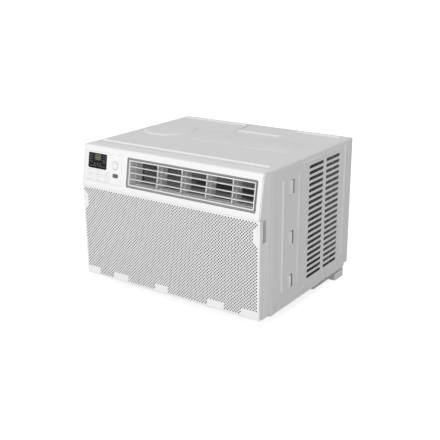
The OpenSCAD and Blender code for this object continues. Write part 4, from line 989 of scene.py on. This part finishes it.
def ribX(i):  # ribs and vanes stand at even steps about the middle, shifted a little
    return (i - (outlet["ribs"] - 1) / 2) * outlet["ribPitch"] + outlet["ribShift"]


def rimProfile(widthIn, low, high, rim=0.5, steps=3):
    # closed (inset, height) loop of a rectangular bar section with four quarter-round edges
    t = np.linspace(0, math.pi / 2, steps + 1)
    s, c = rim * (1 - np.sin(t)), rim * (1 - np.cos(t))
    return np.concatenate([np.column_stack([s, high - c])[::-1], np.column_stack([s, low + c]),
                           np.column_stack([widthIn - s, low + c])[::-1],
                           np.column_stack([widthIn - s, high - c])])


def buildOutletFrame():  # one ring of bar section, and an upright bar at each rib
    w, h = outlet["frame"]
    place = panelAt(*outlet["middle"])
    ring = loopPart(roundedOutline(w, h, 2.0, 6),
                    rimProfile(outlet["bar"], outlet["back"], outlet["front"], 0.7), place)
    parts = [ring]
    for i in range(outlet["ribs"]):
        bar = roundedOutline(outlet["ribWidth"], h - 2 * outlet["bar"] + 1.0, 0.5, 2) + [ribX(i), 0]
        parts.append(slabPart(bar, place, outlet["back"], outlet["back"] + outlet["ribDepth"], 0.9, 4))
    return parts


def bladeOutline():  # a thin section with a round nose and a slimmer tail, in (inwards, height)
    half, t = blade["chord"] / 2, blade["thick"] / 2
    turn = np.linspace(0, 2 * math.pi, 29)[:-1]
    a = half * np.cos(turn)
    body = np.abs(np.sin(turn)) ** 0.55
    return np.column_stack([a, np.sign(np.sin(turn)) * t * body * (1 - 0.18 * np.cos(turn))])


def buildBlade(index):
    # the section carried across, a pin at each end, and the arm and pin that the link holds
    x0, v0 = outlet["middle"]
    place = panelAlong(x0, v0 + (index - 1) * blade["pitch"], blade["behind"])
    length = outlet["frame"][0] - 2 * outlet["bar"] - blade["endGap"]
    parts = [slabPart(bladeOutline(), place, -length / 2, length / 2, 0.35, 2)]
    linkX = length / 2 - blade["pinIn"]
    for sign in (-1, 1):
        ends = sorted((sign * linkX, sign * (outlet["frame"][0] / 2 - 0.2)))
        parts.append(slabPart(circleOutline(blade["pin"], 16), place, *ends, 0.2, 1))
    arm = roundedOutline(*blade["arm"], 0.7, 3) + [4.6, 0]
    parts.append(slabPart(arm, place, linkX - 2.4, linkX - 0.1, 0.3, 2))
    pin = circleOutline(blade["linkPin"], 12) + [blade["chord"] / 2 + 3, 0]
    parts.append(slabPart(pin, place, linkX - 0.5, linkX + 4, 0.15, 1))
    return parts


def buildVane(index):
    # a flat oval section carried upright in two lengths with a window for the link between them,
    # joined in front by a strip, on a hub and pin; the link's own pin stands on a small stub
    x0, v0 = outlet["middle"]
    height = outlet["frame"][1] - 2 * outlet["bar"] - 3
    place = (lambda a, b, c: onPanel(x0 + ribX(index) + b, v0 + c, vane["pivot"] - a))
    chord = vane["chord"]
    turn = np.linspace(0, 2 * math.pi, 33)[:-1]
    a = (chord / 2) * np.cos(turn) + chord / 2 - vane["nose"]
    flat = np.column_stack([a, np.sign(np.sin(turn)) * vane["halfThick"] * np.abs(np.sin(turn)) ** 0.4])
    low, high = vane["window"]
    parts = [slabPart(flat, place, -height / 2, low, 0.3, 2),
             slabPart(flat, place, high, height / 2, 0.3, 2)]
    front = roundedOutline(*vane["front"], 0.6, 2) + [-0.1, 0]
    parts.append(slabPart(front, place, low - 0.8, high + 0.9, 0.2, 1))
    parts.append(slabPart(circleOutline(vane["hub"], 20), place, -height / 2, height / 2, 0.3, 2))
    reach = (outlet["frame"][1] - 0.6) / 2
    parts.append(slabPart(circleOutline(vane["pin"], 16), place, -reach, reach, 0.2, 1))
    parts.append(slabPart(circleOutline(vane["linkPin"], 12) + vane["linkAt"], place, 3.0, 8.0, 0.15, 1))
    stub = roundedOutline(2.0, 4.4, 0.4, 2) + [13.0, 2.0]
    parts.append(slabPart(stub, place, 3.0, low, 0.2, 1))
    return parts


def buildOutlet():  # every piece of the outlet in its order, from the band round it to the two links
    place = panelAt(*outlet["middle"])
    w, h = (size - outlet["gap"] for size in outlet["opening"])
    fw, fh = outlet["frame"]
    width = (w - fw - outlet["gap"]) / 2
    band = [(0.0, -5.6), (0.0, -3.0), (0.3, -2.7), (0.9, -2.6), (1.6, -2.9), (width - 0.7, -4.0),
            (width - 0.2, -4.3), (width, -4.8), (width, -6.0), (0.4, -6.0)]
    putMesh("outletBand", [loopPart(roundedOutline(w, h, 3.0, 6), band, place)], "housing",
            "surround_plastic", "outlet_surround", sharp=35)
    putMesh("outletFrame", buildOutletFrame(), "housing", "bezel_plastic", "outlet_frame", sharp=35)
    for i in range(3):
        number = str(i + 1)
        putMesh("levelBlade" + number, buildBlade(i), "blade_" + number, "blade_plastic",
                "louvre_blade_" + number, sharp=35)
    for i, body in enumerate(("vane_a", "vane_b", "vane_c", "vane_d")):
        number = str(i + 1)
        putMesh("uprightVane" + number, buildVane(i), body, "vane_plastic", "vane_" + number, sharp=35)
    carrier = rimProfile(outlet["bar"], *outlet["carrier"], 0.4)
    putMesh("vaneCarrier", [loopPart(roundedOutline(fw, fh, 2.0, 6), carrier, place)], "housing",
            "vane_plastic", "vane_carrier", sharp=35)
    softCopy("bladeLink", "blade_link", 0.3, "blade_bar")
    softCopy("vaneLink", "vane_link", 0.3, "vane_bar")


buildOutlet()
print("outlet made")


# Controls: fascia, display window, keys, rocker and power button
controls = {"fascia": (-175.25, 45.8, 106.5, 66.0), "display": (-192.6, 58.4, 54.0, 34.0),
            "keyX": (-212.5, -188.8, -164.8), "keyV": (33.2, 20.2), "key": (19.4, 8.6),
            "rocker": (-141.0, 55.0), "power": (-138.9, 32.4, 14.7, 7.8), "ink": 0.09, "proud": 0.3,
            "crown": 0.05, "wide": 0.12, "corner": 1.3, "stem": (2.0, -7.9, -5.8),
            "screen": (17.4, 12.8), "screenPlace": (0.2, 8.4), "digits": ((-4.4, "abged"), (2.6, "afgcd")),
            "rockerSection": ((0.3, -4.6), (3.2, -4.6), (7.9, -4.6), (8.2, -4.4), (8.2, 0.1), (8.1, 0.4),
                              (7.8, 0.58), (7.2, 0.55), (6.6, 0.42), (5.0, 0.15), (2.5, -0.05),
                              (0.3, -0.1))}


def strokeParts(lines, place, width=0.5, scale=1.0):  # thin raised print: each polyline as a low bead
    return [ridgePart(np.asarray(line, float) * scale, place, width, controls["ink"], 0.03, 4, 4)
            for line in lines]


def arcLine(radius, start, end, middle=(0.0, 0.0), steps=12):  # points on a circle, between two angles
    turn = np.radians(np.linspace(start, end, steps))
    return np.column_stack([middle[0] + radius * np.cos(turn), middle[1] + radius * np.sin(turn)])


keySigns = {
    "mode_key": [[(-1.5, 0), (1.5, 0)], [(-0.75, -1.3), (0.75, 1.3)], [(-0.75, 1.3), (0.75, -1.3)]],
    "fan_key": [arcLine(0.8, 0, 200, (0.75, 0.2)), arcLine(0.8, 120, 320, (-0.5, 0.6)),
                arcLine(0.8, 240, 440, (-0.3, -0.75))],
    "timer_key": [arcLine(1.4, 0, 350, steps=20), [(0, 0.9), (0, 0), (0.7, 0)]],
    "eco_key": [arcLine(1.9, 200, 290, (0.9, 1.0)), arcLine(1.9, 20, 110, (-0.9, -1.0)),
                [(-1.3, -1.2), (0.6, 0.6)]],
    "sleep_key": [arcLine(1.4, 60, 300, steps=16), arcLine(1.2, 80, 280, (0.6, 0), 12)],
    "swing_key": [np.concatenate([arcLine(0.7, 180, 0, (-1.0, 0.1)),
                                  arcLine(0.7, 180, 360, (0.4, 0.1))[1:], [(1.7, 0.9)]])]}


def keyBody(name):  # each key moves on a body of its own
    return name + "_cap"


def keyBlank(x, v, width, height, rim):  # a crowned cap standing a little proud, and the stem behind it
    outline = roundedOutline(width, height, controls["corner"], 4)
    radius, back, front = controls["stem"]
    return [slabPart(outline, panelAt(x, v), -6.0, controls["proud"], rim, 4, crown=controls["crown"]),
            slabPart(circleOutline(radius, 20), panelAt(x, v), back, front, 0.2, 1)]


def buildKeys():  # six small keys in two rows, each with its sign over two short bars
    width, height = (size + controls["wide"] for size in controls["key"])
    names = (("mode_key", "fan_key", "timer_key"), ("eco_key", "sleep_key", "swing_key"))
    for row, v in enumerate(controls["keyV"]):
        for column, x in enumerate(controls["keyX"]):
            name = names[row][column]
            putMesh(name[:-4] + "Key", keyBlank(x, v, width, height, 0.35), keyBody(name),
                    "fascia_plastic", name, sharp=40)
            sign = strokeParts(keySigns[name], panelAt(x, v + 0.7, controls["proud"]), 0.5, 1.3)
            bars = [[(-4.6, -2.7), (-1.2, -2.7)], [(-0.2, -2.7), (4.6, -2.7)]]
            label = strokeParts(bars, panelAt(x, v, controls["proud"]), 0.7)
            putMesh(name[:-4] + "KeyPrint", sign + label, keyBody(name), inkGrey)


def buildPowerKey():  # the dark key, with a ring and a bar
    x, v, w, h = controls["power"]
    putMesh("powerKey", keyBlank(x, v, w, h, 0.4), keyBody("power_button"), "button_dark", "power_button",
            sharp=40)
    lines = [arcLine(1.5, 120, 420, steps=18), [(0, 0.6), (0, 2.0)]]
    sign = strokeParts(lines, panelAt(x, v - 0.2, controls["proud"] + 0.02), 0.5)
    putMesh("powerKeyPrint", sign, keyBody("power_button"), inkPale)


def buildRocker():  # a dished cap with a raised rim on a post and a cross pin, with up and down signs
    x, v = controls["rocker"]
    cap = turnedPart(controls["rockerSection"], 48, panelAt(x, v))
    post = slabPart(circleOutline(3.0, 24), panelAt(x, v), -8.8, -4.5, 0.2, 1)
    pin = slabPart(circleOutline(1.2, 16), panelAlong(x, v, -7.2), -6.5, 6.5, 0.2, 1)
    body = keyBody("temp_rocker")
    putMesh("temperatureRocker", [cap, post, pin], body, "fascia_plastic", "temp_rocker", sharp=40)
    signs = [[(-1.1, 3.4), (0, 4.6), (1.1, 3.4)], [(-1.1, -3.4), (0, -4.6), (1.1, -3.4)],
             [(-0.7, 0), (0.7, 0)]]
    putMesh("rockerPrint", strokeParts(signs, panelAt(x, v, 0.08), 0.55), body, inkGrey)


def buildDisplay():  # glossy window, olive screen with two digits, dots and bars round it
    dx, dv, dw, dh = controls["display"]
    window = slabPart(roundedOutline(dw - 0.3, dh - 0.3, 2.8, 6), panelAt(dx, dv), -2.5, -0.3, 0.25, 3)
    putMesh("displayWindow", [window], "housing", "display_glass", "display_lens", sharp=40)
    sx, sv = dx + controls["screenPlace"][0], dv + controls["screenPlace"][1]
    lit = slabPart(roundedOutline(*controls["screen"], 0.8, 3), panelAt(sx, sv), -0.6, -0.22, 0.08, 1)
    putMesh("displayScreen", [lit], "housing", screenOlive)
    segments = {"a": ((-1.6, 4), (1.6, 4)), "b": ((2, 3.6), (2, 0.4)), "c": ((2, -0.4), (2, -3.6)),
                "d": ((-1.6, -4), (1.6, -4)), "e": ((-2, -0.4), (-2, -3.6)), "f": ((-2, 3.6), (-2, 0.4)),
                "g": ((-1.6, 0), (1.6, 0))}
    lines = []
    for shift, used in controls["digits"]:
        lines += [np.array(segments[k]) + [shift, 0] for k in used]
    lines.append(arcLine(0.7, 0, 340, (7.0, 3.2), 10))
    putMesh("displayDigits", strokeParts(lines, panelAt(sx, sv, -0.22), 0.9), "housing", screenDark)
    marks = []
    for row in range(4):
        level = 11.5 - row * 4.6
        for side in (-1, 1):
            marks.append([(side * 17.0 - 1.2, level), (side * 17.0 + 1.2, level)])
            marks.append(arcLine(0.55, 0, 330, (side * 21.5, level), 8))
    for x in (-19.5, -12.5, -5.5, 5.5, 12.5, 19.5):
        marks.append([(x - 1.7, -11.5), (x + 1.7, -11.5)])
    for x in (-8.0, 0.0, 8.0):
        marks.append([(x - 1.1, -5.5), (x + 1.1, -5.5)])
        marks.append(arcLine(0.8, 0, 330, (x, -8.3), 8))
    putMesh("displayMarks", strokeParts(marks, panelAt(dx, dv, -0.3), 0.7), "housing", inkPale)


def buildControls():  # the panel's pieces in order, ending with the thin ring printed round the rocker
    softCopy("controlFascia", "control_fascia", 0.22)
    buildKeys()
    buildPowerKey()
    buildRocker()
    buildDisplay()
    ring = strokeParts([arcLine(9.0, 4, 356, steps=49)], panelAt(*controls["rocker"]), 0.3)
    putMesh("fasciaPrint", ring, "housing", inkPale)


buildControls()
print("controls made")


fins = {"pitch": 1.9, "wave": 0.35, "halfThick": 0.09, "inset": 1.0, "plate": 1.4}


def buildFins(name, node, finish):
    # a pack of thin corrugated fins between two end plates, each fin one closed strip
    low, high = (np.array(corner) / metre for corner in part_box(node))
    count = int((high[0] - low[0] - 4) / fins["pitch"])
    x = np.linspace(low[0] + 3, high[0] - 3, count)
    depth = high[1] - low[1] - fins["inset"]
    wave = np.linspace(0, 1, 9)
    bend = fins["wave"] * np.sin(wave * math.pi * 6)
    t = fins["halfThick"]
    strip = np.concatenate([np.column_stack([bend - t, wave * depth]),
                            np.column_stack([bend + t, wave * depth])[::-1]])
    k = len(strip)
    rim = np.concatenate([np.column_stack([strip, np.full(k, z)]) for z in (low[2] + 1.0, high[2] - 1.0)])
    places = np.stack([x, np.full(count, low[1] + 0.5), np.zeros(count)], 1)
    points = (rim[None] + places[:, None]).reshape(-1, 3)
    shift = (np.arange(count) * 2 * k)[:, None, None]
    quads = (gridFaces(2, k, wrapColumns=True)[None][:, :, ::-1] + shift).reshape(-1, 4)
    half = len(wave) - 1
    i = np.arange(half)
    cap = np.stack([i, i + 1, k - 2 - i, k - 1 - i], 1)
    caps = np.concatenate([(cap[None] + shift).reshape(-1, 4),
                           ((cap + k)[None][:, :, ::-1] + shift).reshape(-1, 4)])
    parts = [(points, [quads, caps])]
    for start, end in ((low[0], low[0] + fins["plate"]), (high[0] - fins["plate"], high[0])):
        plate = roundedOutline(high[1] - low[1], high[2] - low[2], 1.2, 3)
        plate = plate + [(low[1] + high[1]) / 2, (low[2] + high[2]) / 2]
        parts.append(slabPart(plate, (lambda a, b, n: np.column_stack([n, a, b])), start, end, 0.2, 1))
    putMesh(name, parts, "housing", finish, node, sharp=30)


weave = {"windows": 4, "windowPitch": 104.0, "reach": 48.0, "pitch": 1.6, "strand": (0.48, 0.3),
         "over": 0.12}


def buildFilterWeave():  # crossing strands in each window of the filter frame
    low, high = (np.array(corner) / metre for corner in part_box("filter_mesh"))
    middle = (low[1] + high[1]) / 2
    parts = []
    wide, thick = weave["strand"]
    diamond = np.array([(wide, 0), (0, thick), (-wide, 0), (0, -thick)])
    reach = weave["reach"]
    for window in range(weave["windows"]):
        centre = (window - (weave["windows"] - 1) / 2) * weave["windowPitch"]
        xs = np.arange(centre - reach, centre + reach + 0.1, weave["pitch"])
        zs = np.arange(low[2] + 1.0, high[2] - 0.5, weave["pitch"])
        for lines, start, end, upright in ((xs, low[2], high[2], True),
                                           (zs, centre - reach - 1, centre + reach + 1, False)):
            ends = np.repeat([start, end], 4)
            d = np.tile(diamond, (2, 1))
            a = lines[:, None] + d[None, :, 0]
            b = np.broadcast_to(ends[None], a.shape)
            depth = middle + d[None, :, 1] + (weave["over"] if upright else -weave["over"]) + 0 * a
            points = np.stack([a, depth, b] if upright else [b, depth, a], -1).reshape(-1, 3)
            box = np.concatenate([gridFaces(2, 4, wrapColumns=True), [[3, 2, 1, 0], [4, 5, 6, 7]]])
            rows = (box[None] + (np.arange(len(lines)) * 8)[:, None, None]).reshape(-1, 4)
            parts.append((points, [rows[:, ::-1] if upright else rows]))
    putMesh("filterWeave", parts, "grille", "filter_plastic", "filter_mesh", sharp=30)


# Screws: (radius, share of the head's height, depth of the cross) from the middle out, then the shank
screws = {"head": ((0.05, 1.0, 0.9), (0.7, 1.0, 0.9), (1.5, 1.0, 0.75), (2.2, 0.97, 0), (3.0, 0.85, 0),
                   (3.5, 0.6, 0), (3.8, 0.25, 0), (3.8, 0.0, 0)),
          "height": 1.9, "shank": 1.9, "length": 9.0, "bezelLength": 29.0,
          "side": ((66, True), (180, False), (288, True)), "sideHeight": 10}


def screwHead(place, length):
    # pan head on its shank as one turned section; the cross sinks by the sixth power of |cos 2 turn|
    head = np.array(screws["head"])
    shank = screws["shank"]
    section = [(r, share * screws["height"]) for r, share, _ in screws["head"]]
    section += [(shank, 0.0), (shank, -length + 1), (shank * 0.4, -length)]
    turn = np.linspace(0, 2 * math.pi, 33)[:-1]
    sunk = np.concatenate([head[:, 2], [0, 0, 0]])[:, None] * np.abs(np.cos(2 * turn)) ** 6
    sunk[0] = head[0, 2]
    return turnedPart(section[::-1], 32, place, sunk[::-1])


def buildScrews():
    # three along the foot of each side, in a dent or flat on the wall, and two behind each cheek
    parts = []
    for sign in (-1, 1):
        for depth, inDent in screws["side"]:
            wall = halfWidth - (cabinet["dentDepth"] if inDent else 0.0)
            place = (lambda a, b, n, g=sign, w=wall, d=depth: np.column_stack(
                [g * (w + n), frontY + d + a, baseZ + screws["sideHeight"] + b]))
            parts.append(screwHead(place, screws["length"]))
    for sign in (-1, 1):
        for z in bezel["bossZ"]:
            place = (lambda a, b, n, g=sign, e=z: np.column_stack(
                [g * bezel["bossX"] + a, frontY + bezel["ledge"] - n, baseZ + e + b]))
            parts.append(screwHead(place, screws["bezelLength"]))
    putMesh("caseScrews", parts, "housing", screwZinc, "case_screws",
            sharp=35)


# painted shade: dark strips behind the grille's outer holes, standing in part for foam gaskets
shadeSeals = {"back": 6.4, "thick": 3.6, "endPlace": 220.0, "endWidth": 18.0, "endMargin": 12.0,
         "reach": 208.0, "top": (4.8, 4.4), "low": (8.6, 6.0)}


def buildShadeSeals():
    # soft foam strips on the grille's back: one at each end of the filter, one above and one below it;
    # they stand in part for foam gaskets and are dark so the holes near the edges read shaded, a painted
    # shade
    middle = (grilleLow[2] + grilleHigh[2]) / 2
    height = grilleHigh[2] - grilleLow[2] - shadeSeals["endMargin"]
    strips = [(sign * shadeSeals["endPlace"], middle, shadeSeals["endWidth"], height, 2.0) for sign in (-1, 1)]
    strips.append((0.0, grilleHigh[2] - shadeSeals["top"][0], 2 * shadeSeals["reach"], shadeSeals["top"][1], 1.2))
    strips.append((0.0, baseZ + shadeSeals["low"][0], 2 * shadeSeals["reach"], shadeSeals["low"][1], 1.2))
    place = (lambda a, b, n: np.column_stack([a, frontY + shadeSeals["back"] - n, b]))
    parts = [slabPart(roundedOutline(width, tall, radius, 4) + [x, z], place, 0.0, shadeSeals["thick"], 0.9, 3)
             for x, z, width, tall, radius in strips]
    putMesh("edgeShadeSeals", parts, "grille", "filter_plastic", None, sharp=40)


buildShadeSeals()
buildFins("evaporatorFins", "evaporator_coil", "coil_fins")
buildFins("condenserFins", "condenser_coil", "coil_fins")
buildFilterWeave()
buildScrews()
for name, node, width in (("rearGuard", "rear_panel", 0.4), ("basePan", "base_pan", 0.5),
                          ("rearFeet", "rear_feet", 1.0), ("frontFeet", "front_feet", 1.2),
                          ("inletLattice", "inlet_plate", 0.5), ("electricBox", "electric_box", 0.4),
                          ("foamDuct", "outlet_duct", 0.8)):
    softCopy(name, node, width)
softCopy("filterFrame", "filter_frame", 0.6, "grille")
print("inside and underside made")


def layFloor():  # one large square, which also gives back some of the light that a camera ray meets
    r = studio["floorReach"]
    mesh = bpy.data.meshes.new("studioFloor")
    mesh.from_pydata([(-r, -r, 0), (r, -r, 0), (r, r, 0), (-r, r, 0)], [], [(0, 1, 2, 3)])
    floor = bpy.data.objects.new("studioFloor", mesh)
    bpy.context.scene.collection.objects.link(floor)
    material = bpy.data.materials.new("paleFloor")
    material.use_nodes = True
    tree = material.node_tree
    shader = tree.nodes["Principled BSDF"]
    shade = studio["floorShade"]
    shader.inputs["Base Color"].default_value = (shade, shade, shade, 1)
    shader.inputs["Roughness"].default_value = 0.9
    shader.inputs["Emission Color"].default_value = (1, 1, 1, 1)
    path = tree.nodes.new("ShaderNodeLightPath")
    glow = mathNode(tree, "MULTIPLY", path.outputs["Is Camera Ray"], studio["floorGlow"])
    tree.links.new(glow, shader.inputs["Emission Strength"])
    mesh.materials.append(material)


for name, node in nodes.items():
    node.data.materials.clear()
    node.data.materials.append(finishes[slotOf[name]])

layFloor()
